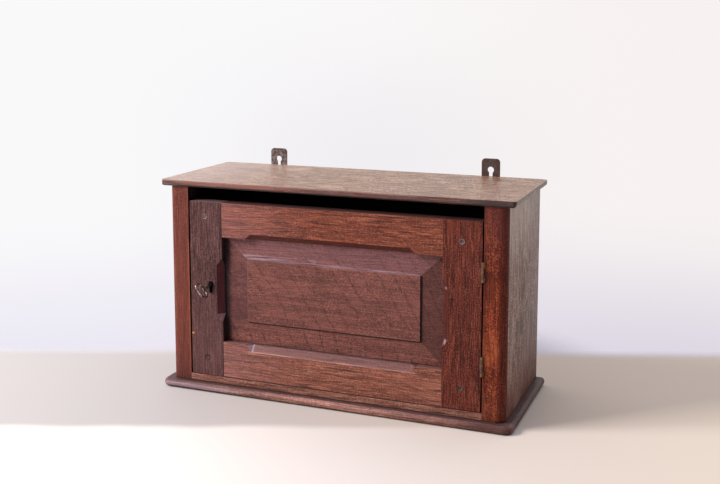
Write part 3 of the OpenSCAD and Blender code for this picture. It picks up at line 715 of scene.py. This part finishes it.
# Painted reflection: the top's pale tone is lifted to stand partly for the bright wall that it reflects.
TOP_OAK = OakFinish(
    "top_oak", "top_oak", (184, 126, 100), (86, 46, 32), (244, 206, 176), Grain.ALONG_X, 3.0, heart=(-0.02, 0.32),
    lean=0.06, figure=0.6, pores=0.9, glints=0.8, grit=1, mottle=0.6, wear=0.15, rough=0.34, sheen=0.5, wax=0.1,
    dust_and_sheen=0,
    washes=(
        # Painted reflection: the top lighter towards the left.
        Wash((232, 214, 210), 0.45, across=(-300, -150), soft=90, broken=0.4),
        # The front edge a deep red, darker than the top: partly the oak's own colour, partly painted shade.
        Wash((76, 22, 14), 0.95, depth=(-100, -94.3), height=(270, 282.9), soft=0.3, broken=0.15),
        Wash((66, 30, 24), 0.8, across=(238.5, 250), height=(270, 282.7), soft=0.4),
        # Painted highlight along the front's upper arris, partly wear.
        Wash((190, 150, 144), 0.4, across=(-250, 120), depth=(-100, -94.5), height=(281.5, 282.9), soft=0.6,
             broken=0.7),
        # Painted shade on the faces that look down, under the front edge.
        Wash((16, 4, 4), 0.96, facing=DOWN, tilt=0.5),
    ),
    marks=(
        # Painted highlight along the upper front edge at the left.
        Mark((-130, -96.5, 280.5), (110, 3, 3), (172, 98, 78), 0.3),
        Mark((235, -96.5, 278.5), (80, 5, 6), (36, 10, 6), 0.85),
    ),
)
LEFT_SIDE_OAK = OakFinish(
    "left_side_oak", "side_oak", (104, 74, 64), (66, 44, 38), (140, 110, 98), Grain.ALONG_Z, 4.0, sheen=0.5,
    washes=(Wash((70, 48, 42), 0.6, height=(-100, 30), soft=40, broken=0.4),),
)
# Painted reflection: the pale greyish tone stands partly for the bright wall that the side reflects.
RIGHT_SIDE_OAK = OakFinish(
    "right_side_oak", "side_oak", (182, 136, 122), (78, 48, 40), (230, 204, 192), Grain.ALONG_Z, 5.0, pores=1,
    glints=0.75, grit=0.95, mottle=0.6, rough=0.56, sheen=0.28,
    washes=(
        # Painted reflection: the side lighter towards the top.
        Wash((226, 214, 206), 0.7, height=(225, 400), soft=50, broken=0.6),
        # Painted reflection: the side greyer towards the back.
        Wash((156, 154, 160), 0.35, depth=(30, 200), soft=50, broken=0.6),
        Wash((104, 42, 14), 0.9, height=(-100, 55), soft=50, broken=0.4),
    ),
    marks=(Mark((230.5, -71, 187.5), (2, 1.1, 2), (26, 18, 16)),),
)
LEFT_POST_OAK = OakFinish(
    "left_post_oak", "red_oak", (118, 56, 44), (90, 40, 32), (146, 82, 62), Grain.ALONG_Z, 6.0, pores=0.35,
    glints=0.3, threads=0.5,
    washes=(
        Wash((84, 46, 42), 0.7, height=(-100, 30), soft=35, broken=0.4),
        Wash((180, 94, 60), 0.45, across=(-203, -201), height=(20, 200), broken=0.5),
        # Painted shade: the inner face, in the gap beside the door, painted black.
        Wash((10, 3, 3), 0.97, across=(-203, -200), soft=0.3, facing=RIGHT, tilt=0.9),
    ),
)
RIGHT_POST_OAK = OakFinish(
    "right_post_oak", "red_oak", (122, 44, 24), (66, 16, 10), (182, 96, 58), Grain.ALONG_Z, 7.0, pores=0.5,
    glints=0.4, threads=0.4, grit=0.9, mottle=0.9, sheen=0.18,
    washes=(
        Wash((124, 72, 54), 0.5, height=(-100, 30), soft=40, broken=0.4),
        # Painted shade: the rounded corner, which turns away from the light, darker.
        Wash((66, 6, 2), 0.65, across=(219.5, 240), soft=3, broken=0.3),
        Wash((92, 46, 44), 0.5, height=(225, 300), soft=40),
        Wash((176, 84, 40), 0.22, across=(204.5, 219.5), height=(70, 190), soft=8, broken=1),
        # Painted shade along the post's edge beside the gap to the door.
        Wash((70, 30, 22), 0.4, across=(190, 204.5), soft=1.5, broken=0.3),
    ),
)
LEFT_STILE_OAK = OakFinish(
    "left_stile_oak", "dark_oak", (86, 50, 49), (54, 28, 30), (132, 94, 92), Grain.ALONG_Z, 8.0, figure=0.15,
    threads=0.6, shaded_inside=False,
    washes=(
        DOOR_FOOT_GAP_SHADE,
        # Painted light: the stile lighter towards the bottom, as light bounced from the table.
        Wash((120, 80, 78), 0.4, height=(0, 100), soft=60, broken=0.3),
        # Painted shade: the chamfer that faces right, away from the light, in deep maroon.
        Wash((70, 6, 20), 0.9, height=(92, 186.5), broken=0.2, facing=RIGHT, tilt=0.3),
        # Painted shade in the reveal at the stile's inner edge.
        Wash((26, 8, 12), 0.85, across=(-152.8, -150), soft=0.4),
    ),
    marks=(
        Mark((-197.5, -91, 76.1), (2.4, 3, 1.5), (214, 150, 98)),
        # Painted shade: the keyhole's mouth and the hollow behind it painted black.
        Mark((-167, -91, 140), (4.6, 2, 9.4), (14, 6, 6)),
        Mark((-169.3, -82, 141), (8, 8.8, 14), (6, 3, 3), 1),
    ),
)
RIGHT_STILE_OAK = OakFinish(
    "right_stile_oak", "red_oak", (112, 48, 34), (60, 22, 18), (150, 86, 70), Grain.ALONG_Z, 9.0, figure=0.15,
    threads=0.55, grit=0.7, sheen=0.15, dust_and_sheen=0.1, shaded_inside=False,
    washes=(
        DOOR_FOOT_GAP_SHADE,
        # Painted shade on the door's top face, under the top board's overhang.
        Wash((50, 22, 24), 0.8, facing=UP, tilt=0.8),
        Wash((66, 26, 26), 0.6, broken=0.3, facing=LEFT, tilt=0.3),
    ),
    marks=(
        Mark((162.5, -91, 157.8), (2.2, 3, 1.8), (34, 16, 14), 0.8),
        # Pale spots at the chamfer stops, partly wear and partly painted highlight where the stops face the light.
        Mark((153.5, -88, 170), (2.4, 5, 2.4), (160, 128, 126), 0.6),
        Mark((153.5, -88, 103), (2.4, 5, 4), (172, 146, 150), 0.7),
    ),
)
TOP_RAIL_OAK = OakFinish(
    "top_rail_oak", "rail_oak", (134, 64, 44), (84, 34, 24), (186, 112, 80), Grain.ALONG_X, 10.0, dust_and_sheen=0.1,
    shaded_inside=False,
    washes=(
        RAIL_PAINTED_SHEEN,
        # Painted shade on the chamfer that faces down.
        Wash((60, 18, 18), 0.75, broken=0.2, facing=DOWN, tilt=0.3),
        # Painted shade on the door's top face, under the top board's overhang.
        Wash((50, 22, 24), 0.8, facing=UP, tilt=0.8),
    ),
)
BOTTOM_RAIL_OAK = OakFinish(
    "bottom_rail_oak", "rail_oak", (154, 90, 72), (100, 52, 42), (194, 132, 108), Grain.ALONG_X, 11.0, threads=0.5,
    wear=0.7, dust_and_sheen=0.08, shaded_inside=False,
    washes=(
        RAIL_PAINTED_SHEEN,
        DOOR_FOOT_GAP_SHADE,
        # Painted shade on the left chamfer stop, which faces right, away from the light.
        Wash((40, 16, 18), 0.85, across=(-140, -110), facing=RIGHT, tilt=0.3),
        # Painted reflection: the chamfer that faces up, mauve-grey with the sky.
        Wash((106, 73, 75), 0.75, height=(58.5, 70), soft=0.3, broken=0.3, facing=UP, tilt=0.3),
        # Painted highlight: the chamfer's left end paler.
        Wash((206, 182, 196), 0.45, across=(-117.5, -108), height=(58.5, 70), soft=1.2, facing=UP, tilt=0.3),
        # Painted shade: a dark line where the chamfer meets the panel.
        Wash((54, 24, 24), 0.75, across=(-118, 118), height=(67.7, 70), soft=0.4),
        Wash((214, 170, 158), 0.55, across=(-116, 117), height=(58.8, 60.2), soft=0.4, broken=0.7),
    ),
)
PANEL_OAK = OakFinish(
    "panel_oak", "rail_oak", (128, 74, 66), (74, 36, 34), (166, 112, 98), Grain.ALONG_X, 12.0, ring=10 * MM,
    heart=(-0.76, -0.06), lean=0.5, figure=0.7, pores=0.25, glints=0.3, threads=0.45, grit=0.5, dust_and_sheen=0, line=0.1,
    waver=7 * MM, shaded_inside=False,
    washes=(
        # Painted reflection: the faces that look up, mauve with the sky.
        Wash((132, 94, 106), 0.42, broken=0.5, facing=UP),
        # Painted highlight along the field's top step, in two lines, partly worn wax.
        Wash((196, 176, 190), 0.42, across=(-125, -20), height=(182, 188.5), soft=1.5, broken=1, facing=UP),
        Wash((196, 176, 190), 0.42, across=(-20, 120), height=(181.5, 183.8), soft=0.8, broken=1, facing=UP),
        # Painted shade on the bevel that faces left, in the stile's shadow.
        Wash((68, 38, 50), 0.8, broken=0.3, facing=LEFT),
        # Painted shade on the bevel that faces right.
        Wash((50, 17, 17), 0.68, broken=0.2, facing=RIGHT),
        # Painted shade under the field's bottom step.
        Wash((34, 14, 14), 0.85, across=(-117, 121.5), depth=PANEL_FRONT, height=(96.4, 98.5)),
        # Painted shade on the field's right step.
        Wash((24, 10, 10), 0.9, across=(120.8, 123.2), depth=PANEL_FRONT, height=(97.5, 182)),
        # Painted highlight on the field's left step.
        Wash((150, 112, 118), 0.4, across=(-118.4, -116.6), depth=PANEL_FRONT, height=(99, 181), broken=0.4),
        # Painted shadow of the left stile on the panel's left edge.
        Wash((22, 6, 10), 0.93, across=(-170, -144.8), soft=4),
    ),
)
STOP_OAK = OakFinish("stop_oak", "rail_oak", (120, 84, 60), (80, 52, 38), (160, 122, 92), Grain.ALONG_X, 13.0)
PEG_OAK = OakFinish(
    "peg_oak", "dark_oak", (104, 68, 62), (52, 28, 26), (176, 150, 146), Grain.ALONG_Y, 14.0, wear=1, shaded_inside=False,
    marks=(
        Mark((-175.5, -91, 44), (12, 6, 12), (86, 57, 56), 0.92),
        Mark((175.5, -91, 44), (12, 6, 12), (72, 36, 30), 0.5),
    ),
)
BACK_PINE = OakFinish(
    "back_pine", "old_pine", (142, 104, 70), (104, 70, 44), (182, 144, 104), Grain.ALONG_X, 15.0, ring=9 * MM,
    pores=0.2, glints=0.2, rough=0.62,
)
BLOCK_PINE = OakFinish(
    "block_pine", "old_pine", (128, 94, 64), (90, 62, 40), (164, 130, 94), Grain.ALONG_Y, 16.0, ring=8 * MM,
    pores=0.2, glints=0.2, rough=0.62,
)
DARK_IRON = MetalFinish("dark_iron_finish", "dark_iron", (120, 108, 102), (84, 62, 56), 0.66, 0.4, 0.6)
RUBBED_IRON = MetalFinish(
    "rubbed_iron_finish", "dark_iron", (150, 140, 138), (88, 68, 64), 0.56, 0.38, 0.6, lump=200,
)
KEY_STEEL = MetalFinish(
    "key_steel_finish", "key_steel", (186, 164, 160), (62, 40, 36), 0.5, 0.34, 0.5, lump=240, bright=0.8,
    # Painted shade: the part of the key in and near the keyhole, dark and matt.
    washes=(Wash((14, 8, 8), 0.95, depth=(-100.5, -60), soft=2.5),),
)
OLD_BRASS = MetalFinish(
    "old_brass_finish", "old_brass", (146, 106, 72), (92, 60, 46), 0.62, 0.36, 0.55, lump=260, bright=0.4,
)


@dataclass(frozen=True)
class Part:
    """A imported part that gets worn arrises.

    Attributes:
        node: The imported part.
        finish: Its finish.
        arris: The most that its arrises are rounded, in millimetres. Short edges beside them cut this down.
    """

    node: str
    finish: Finish
    arris: float


class Workshop:
    """Steps at the bench that all the sub-assemblies share."""

    def __init__(self) -> None:
        """Starts with no materials made."""
        self.made: dict[str, bpy.types.Material] = {}

    def dress(self, piece: Piece, finish: Finish) -> None:
        """Puts one finish all over a piece.

        Args:
            piece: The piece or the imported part.
            finish: Its finish, whose material is made once.
        """
        if finish.name not in self.made:
            self.made[finish.name] = finish.make()
        piece.data.materials.clear()
        piece.data.materials.append(self.made[finish.name])

    def dress_packed(self, names: tuple[str, ...], finish: Finish) -> list[Piece]:
        """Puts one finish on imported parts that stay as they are.

        Args:
            names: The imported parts.
            finish: Their finish.

        Returns:
            The same parts.
        """
        parts = [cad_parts[name] for name in names]
        for part in parts:
            self.dress(part, finish)
        return parts

    @staticmethod
    def hold(piece: Piece) -> None:
        """Selects one piece alone and makes it the active one."""
        bpy.ops.object.select_all(action="DESELECT")
        piece.select_set(True)
        bpy.context.view_layer.objects.active = piece

    def copy_of(self, node: str, name: str) -> Piece:
        """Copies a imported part, with its loose triangles merged and its flat faces joined.

        Args:
            node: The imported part.
            name: The copy's name.

        Returns:
            The copy.
        """
        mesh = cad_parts[node].data.copy()
        piece = bpy.data.objects.new(name, mesh)
        bpy.context.scene.collection.objects.link(piece)
        self.hold(piece)
        bpy.ops.mesh.customdata_custom_splitnormals_clear()
        bpy.ops.object.mode_set(mode="EDIT")
        bpy.ops.mesh.select_all(action="SELECT")
        bpy.ops.mesh.remove_doubles(threshold=MERGE_DISTANCE)
        bpy.ops.mesh.dissolve_limited(angle_limit=FLAT_ANGLE)
        bpy.ops.object.mode_set(mode="OBJECT")
        return piece

    def smooth(self, piece: Piece) -> None:
        """Shades a piece smoothly, with its wide faces kept flat.

        Args:
            piece: The piece.
        """
        self.hold(piece)
        bpy.ops.object.shade_smooth_by_angle(angle=SMOOTH_ANGLE)
        evened = piece.modifiers.new("evened", "WEIGHTED_NORMAL")
        evened.weight = WIDE_FACES_FIRST
        evened.keep_sharp = True
        bpy.ops.object.modifier_apply(modifier=evened.name)

    def soften(self, piece: Piece, arris: float) -> None:
        """Rounds a piece's arrises, all by the same width.

        The width stays under what the piece's shortest edges leave room for, so on most boards it is far less.

        Args:
            piece: The piece.
            arris: The most that they are rounded.
        """
        self.hold(piece)
        rounding = piece.modifiers.new("arris", "BEVEL")
        rounding.width = arris
        rounding.segments = ARRIS_FACETS
        rounding.limit_method = "ANGLE"
        rounding.angle_limit = ARRIS_ANGLE
        bpy.ops.object.modifier_apply(modifier=rounding.name)
        self.smooth(piece)

    def seat(self, piece: Piece, body: str, finish: Finish, *nodes: str) -> Piece:
        """Finishes a piece and fixes it to its body.

        Args:
            piece: The piece.
            body: The body that it moves with.
            finish: Its finish.
            *nodes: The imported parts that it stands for.

        Returns:
            The same piece.
        """
        self.dress(piece, finish)
        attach(piece, body)
        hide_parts(*nodes)
        return piece

    def worn(self, part: Part, body: str) -> Piece:
        """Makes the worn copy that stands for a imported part.

        Args:
            part: What to copy and how.
            body: The body that it moves with.

        Returns:
            The new piece.
        """
        piece = self.copy_of(part.node, part.node + "_worn")
        self.soften(piece, part.arris * MM)
        return self.seat(piece, body, part.finish, part.node)

    def pick(self, piece: Piece, kind: str, wanted: Callable[[Vector, Vector], bool]) -> None:
        """Opens a piece for editing with some of its points or faces selected.

        Args:
            piece: The piece.
            kind: VERT for its points or FACE for its faces.
            wanted: Tells from the place and the normal of a point or face whether it is selected.
        """
        self.hold(piece)
        mesh = piece.data
        for group in (mesh.vertices, mesh.edges, mesh.polygons):
            group.foreach_set("select", [False] * len(group))
        if kind == "VERT":
            for point in mesh.vertices:
                point.select = wanted(point.co, point.normal)
        else:
            for side in mesh.polygons:
                side.select = wanted(side.center, side.normal)
        bpy.ops.object.mode_set(mode="EDIT")
        bpy.ops.mesh.select_mode(type=kind)


@dataclass
class Carcass:
    """The boards and posts of the cabinet's box."""

    bench: Workshop
    boards: tuple[Part, ...] = (
        Part("base_board", BASE_OAK, 0.5),
        Part("bottom_board", BOTTOM_OAK, 0.5),
        Part("top_board", TOP_OAK, 0.9),
        Part("left_side_board", LEFT_SIDE_OAK, 0.5),
        Part("right_side_board", RIGHT_SIDE_OAK, 0.5),
        Part("left_front_post", LEFT_POST_OAK, 0.7),
        Part("right_front_post", RIGHT_POST_OAK, 0.7),
        Part("lower_back_board", BACK_PINE, 0.4),
        Part("upper_back_board", BACK_PINE, 0.4),
        Part("glue_blocks", BLOCK_PINE, 0.5),
        Part("door_stop", STOP_OAK, 0.5),
    )
    fixings: tuple[str, ...] = ("back_nails", "side_nails", "base_screws")

    def build(self) -> list[Piece]:
        """Builds the boards and finishes the nails and screws."""
        boards = [self.bench.worn(board, "cabinet") for board in self.boards]
        return boards + self.bench.dress_packed(self.fixings, DARK_IRON)


@dataclass
class Door:
    """The framed door with its panel and pegs."""

    bench: Workshop
    boards: tuple[Part, ...] = (
        Part("left_stile", LEFT_STILE_OAK, 0.8),
        Part("right_stile", RIGHT_STILE_OAK, 0.8),
        Part("top_rail", TOP_RAIL_OAK, 0.7),
        Part("bottom_rail", BOTTOM_RAIL_OAK, 0.7),
        Part("raised_panel", PANEL_OAK, 0.5),
    )
    pegs: Part = Part("draw_pegs", PEG_OAK, 0.4)
    peg_ends: float = -91.3 * MM
    peg_rim: float = 0.8 * MM
    peg_dent: float = 0.9 * MM
    dent_shares: tuple[float, float] = (0.3, 0.7)

    def drive_pegs(self) -> Piece:
        """Makes the pegs, whose front ends the mallet has dented in two steps.

        Returns:
            The pegs.
        """
        pegs = self.bench.worn(self.pegs, "door")
        self.bench.pick(pegs, "FACE", lambda middle, normal: middle.y < self.peg_ends and normal.y < -0.9)
        for share in self.dent_shares:
            bpy.ops.mesh.inset(thickness=self.peg_rim, depth=-share * self.peg_dent, use_individual=True)
        bpy.ops.object.mode_set(mode="OBJECT")
        self.bench.smooth(pegs)
        return pegs

    def build(self) -> list[Piece]:
        """Builds the door's woodwork."""
        return [self.bench.worn(board, "door") for board in self.boards] + [self.drive_pegs()]


@dataclass
class Hinges:
    """The two butt hinges."""

    bench: Workshop
    post_side: tuple[str, ...] = ("upper_hinge_post_leaf", "lower_hinge_post_leaf", "hinge_pins", "post_leaf_screws")
    door_side: tuple[str, ...] = ("upper_hinge_door_leaf", "lower_hinge_door_leaf", "door_leaf_screws")

    def build(self) -> list[Piece]:
        """Finishes the hinges."""
        return self.bench.dress_packed(self.post_side + self.door_side, OLD_BRASS)


@dataclass
class Lock:
    """The lock on the back of the door, and its worn key, which droops a little out of the keyhole."""

    bench: Workshop
    keyhole: Triple = (-169.3 * MM, -91 * MM, 145.6 * MM)
    droop: float = math.radians(5.5)
    sag: Triple = (0.0, 1.1 * MM, -0.5 * MM)
    iron: tuple[str, ...] = ("lock_case", "lock_cap", "lock_screws")
    brass: tuple[str, ...] = ("lock_spring", "lock_bolt")

    def hang_key(self) -> Piece:
        """Makes the key, bent down a little where it leaves the keyhole.

        Returns:
            The key.
        """
        key = self.bench.copy_of("key", "key_drooping")
        mouth = self.keyhole[1]
        self.bench.pick(key, "VERT", lambda place, normal: True)
        bpy.ops.mesh.bisect(plane_co=self.keyhole, plane_no=(0.0, 1.0, 0.0))
        bpy.ops.object.mode_set(mode="OBJECT")
        self.bench.pick(key, "VERT", lambda place, normal: place.y < mouth - MERGE_DISTANCE)
        bpy.ops.transform.rotate(value=-self.droop, orient_axis="X", orient_type="GLOBAL", center_override=self.keyhole)
        bpy.ops.transform.translate(value=self.sag)
        bpy.ops.object.mode_set(mode="OBJECT")
        self.bench.smooth(key)
        return self.bench.seat(key, "key", KEY_STEEL, "key")

    def build(self) -> list[Piece]:
        """Finishes the lock and makes its key."""
        works = self.bench.dress_packed(self.iron, DARK_IRON) + self.bench.dress_packed(self.brass, OLD_BRASS)
        return works + [self.hang_key()]


@dataclass
class Hangers:
    """The two iron wall hangers."""

    bench: Workshop
    plates: tuple[Part, ...] = (
        Part("left_hanger", RUBBED_IRON, 0.35),
        Part("right_hanger", DARK_IRON, 0.35),
    )

    def build(self) -> list[Piece]:
        """Builds the hangers and finishes their screws."""
        plates = [self.bench.worn(plate, "cabinet") for plate in self.plates]
        return plates + self.bench.dress_packed(("hanger_screws",), DARK_IRON)


@dataclass
class Studio:
    """Floor, daylight and camera. None of it belongs to the cabinet.

    The table's and the room's spans give where a tint or a light starts to show and where it shows in full.
    """

    camera_place: Triple = (0.50582, -1.26541, 0.49035)
    camera_turn: float = 21.495
    camera_dip: float = 7.044
    lens_mm: float = 51.731
    sensor_mm: float = 36.0
    lens_shift: float = -0.12778
    table_size: float = 14.0
    table_rough: float = 0.75
    table_end: float = 1.498
    table_end_soft: float = 0.022
    table_slant: float = 0.0226
    table_kept: Span = (0.26, 0.42)
    table_tint: Colour = (196, 193, 194)
    shade_tint: Colour = (234, 218, 201)
    shade_span: Span = (-0.35, 0.45)
    sunny_end: float = 1.213
    sunny_end_soft: float = 0.012
    sunny_ragged: float = 0.03
    sunny_span: Span = (-0.25, 0.35)
    sunny_least: float = 0.2
    sunny_tint: Colour = (249, 243, 239)
    wall_foot: Colour = (212, 210, 221)
    wall_top: Colour = (250, 249, 250)
    wall_warm: Colour = (247, 242, 241)
    wall_low: Colour = (234, 231, 243)
    wall_dim: Colour = (219, 213, 226)
    wall_rise: Span = (-0.325, -0.165)
    low_span: Span = (-0.25, 0.30)
    high_span: Span = (-0.15, 0.30)
    behind_span: Span = (0.26, 0.0)
    behind_rise: Span = (0.02, -0.13)
    behind_share: float = 0.28
    room_front: float = 0.12
    room_back: float = 0.90
    room_span: Span = (-0.4, 0.7)
    room_left: float = 0.25
    left_span: Span = (0.2, -0.9)
    room_above: float = 0.72
    above_rise: Span = (0.25, 0.9)
    room_most: float = 0.95
    room_cool: Colour = (240, 240, 255)
    room_warm: Colour = (255, 250, 246)
    warm_span: Span = (0.0, 0.6)
    lamp_place: Triple = (-1.70, -1.20, 1.50)
    lamp_aim: Triple = (0.0, 0.0, 0.14)
    lamp_size: float = 1.0
    lamp_power: float = 70.0
    lamp_tint: Colour = (255, 246, 238)

    def ahead(self) -> Vector:
        """Gives the level direction in which the picture is taken."""
        turn = math.radians(self.camera_turn)
        return Vector((-math.sin(turn), math.cos(turn), 0.0))

    def aside(self) -> Vector:
        """Gives the level direction to the picture's right."""
        turn = math.radians(self.camera_turn)
        return Vector((math.cos(turn), math.sin(turn), 0.0))

    @staticmethod
    def reach(recipe: Recipe, way: Vector, start: Vector) -> Socket:
        """Measures how far a material's place lies from a start along a direction."""
        return recipe.minus(recipe.along(recipe.place, tuple(way)), start.dot(way))

    def stand_camera(self) -> None:
        """Makes the camera that takes the picture."""
        data = bpy.data.cameras.new("picture")
        data.sensor_width = self.sensor_mm
        data.lens = self.lens_mm
        data.shift_y = self.lens_shift
        camera = bpy.data.objects.new("picture", data)
        camera.location = self.camera_place
        camera.rotation_euler = (math.radians(90 - self.camera_dip), 0.0, math.radians(self.camera_turn))
        bpy.context.scene.collection.objects.link(camera)
        bpy.context.scene.camera = camera

    def lay_floor(self) -> None:
        """Lays the pale table top, which ends behind the cabinet and leaves the wall's light beyond."""
        bpy.ops.object.select_all(action="DESELECT")
        bpy.ops.mesh.primitive_plane_add(size=self.table_size)
        floor = bpy.context.active_object
        floor.name = "table_top"
        recipe = Recipe("table_top")
        start = Vector(self.camera_place)
        far = self.reach(recipe, self.ahead(), start)
        side = self.reach(recipe, self.aside(), start)
        # Painted shade: the table darker and warmer to the right, where the cabinet's shadow falls.
        tint = recipe.mix(recipe.step(side, *self.shade_span), self.table_tint, self.shade_tint)
        # Painted light: a sun patch on the table's front part, with a ragged edge.
        lumps = recipe.minus(recipe.noise(recipe.place, TABLE_LUMPS), 0.5)
        edge = recipe.plus(far, recipe.times(lumps, self.sunny_ragged))
        sunny = recipe.step(edge, self.sunny_end + self.sunny_end_soft, self.sunny_end - self.sunny_end_soft)
        bright = recipe.times(sunny, recipe.step(side, *self.sunny_span, 1.0, self.sunny_least))
        tint = recipe.mix(bright, tint, self.sunny_tint)
        slanted = recipe.plus(far, recipe.times(side, self.table_slant))
        beyond = recipe.step(slanted, self.table_end - self.table_end_soft, self.table_end + self.table_end_soft)
        tint = recipe.mix(beyond, tint, self.wall_foot)
        matt = recipe.node("BsdfPrincipled", {"Base Color": tint, "Roughness": self.table_rough})
        clear = recipe.node("BsdfTransparent")
        fade = recipe.times(beyond, recipe.step(recipe.length(recipe.place), *self.table_kept))
        joined = recipe.node("MixShader", {0: fade, 1: matt.outputs[0], 2: clear.outputs[0]})
        recipe.node("OutputMaterial", {"Surface": joined.outputs[0]})
        floor.data.materials.append(recipe.material)

    def fill_daylight(self) -> None:
        """Lights the room softly: bright wall behind, pale ceiling, and a darker room before the cabinet."""
        world = bpy.data.worlds.new("room")
        bpy.context.scene.world = world
        recipe = Recipe("room_steps", world)
        rise, far, side = [self.reach(recipe, way, Vector()) for way in (Vector(UP), self.ahead(), self.aside())]

        level = recipe.step(far, *self.room_span, self.room_front, self.room_back)
        level = recipe.plus(level, recipe.step(side, *self.left_span, 0.0, self.room_left))
        above = recipe.step(rise, *self.above_rise)
        level = recipe.plus(recipe.times(level, recipe.minus(1.0, above)), recipe.times(above, self.room_above))
        level = recipe.math("MINIMUM", level, self.room_most)
        colour = recipe.mix(recipe.step(far, *self.warm_span), self.room_cool, self.room_warm)
        lit = recipe.node("Background", {"Color": colour, "Strength": level})

        # The wall that the camera sees is a painted backdrop with painted shade: dimmer low on the right and just above
        # the cabinet.
        low = recipe.mix(recipe.step(side, *self.low_span), self.wall_low, self.wall_dim)
        high = recipe.mix(recipe.step(side, *self.high_span), self.wall_top, self.wall_warm)
        middle = recipe.step(recipe.math("ABSOLUTE", side), *self.behind_span)
        behind = recipe.times(middle, recipe.step(rise, *self.behind_rise, 0.0, self.behind_share))
        high = recipe.mix(behind, high, self.wall_dim)
        seen = recipe.mix(recipe.step(rise, *self.wall_rise), low, high)
        wall = recipe.node("Background", {"Color": seen, "Strength": 1.0})
        camera = recipe.node("LightPath").outputs["Is Camera Ray"]
        mixed = recipe.node("MixShader", {0: camera, 1: lit.outputs[0], 2: wall.outputs[0]})
        recipe.node("OutputWorld", {"Surface": mixed.outputs[0]})

    def hang_lamp(self) -> None:
        """Hangs the soft window light, to the left in front."""
        data = bpy.data.lights.new("window", "AREA")
        data.shape = "SQUARE"
        data.size = self.lamp_size
        data.energy = self.lamp_power
        data.color = linear(self.lamp_tint)[:3]
        lamp = bpy.data.objects.new("window", data)
        lamp.location = self.lamp_place
        aim = Vector(self.lamp_aim) - Vector(self.lamp_place)
        lamp.rotation_euler = aim.to_track_quat("-Z", "Y").to_euler()
        bpy.context.scene.collection.objects.link(lamp)

    def build(self) -> None:
        """Sets the whole studio up."""
        bpy.context.scene.view_settings.view_transform = "Standard"
        self.stand_camera()
        self.lay_floor()
        self.fill_daylight()
        self.hang_lamp()


def main() -> None:
    """Builds the cabinet and its studio, piece by piece."""
    logging.basicConfig(level=logging.INFO, format="%(name)s: %(message)s")
    bench = Workshop()
    Studio().build()
    for assembly in (Carcass(bench), Door(bench), Hinges(bench), Lock(bench), Hangers(bench)):
        for piece in assembly.build():
            LOG.info("%s made %s, %d faces", type(assembly).__name__, piece.name, len(piece.data.polygons))


if __name__ == "__main__":
    main()
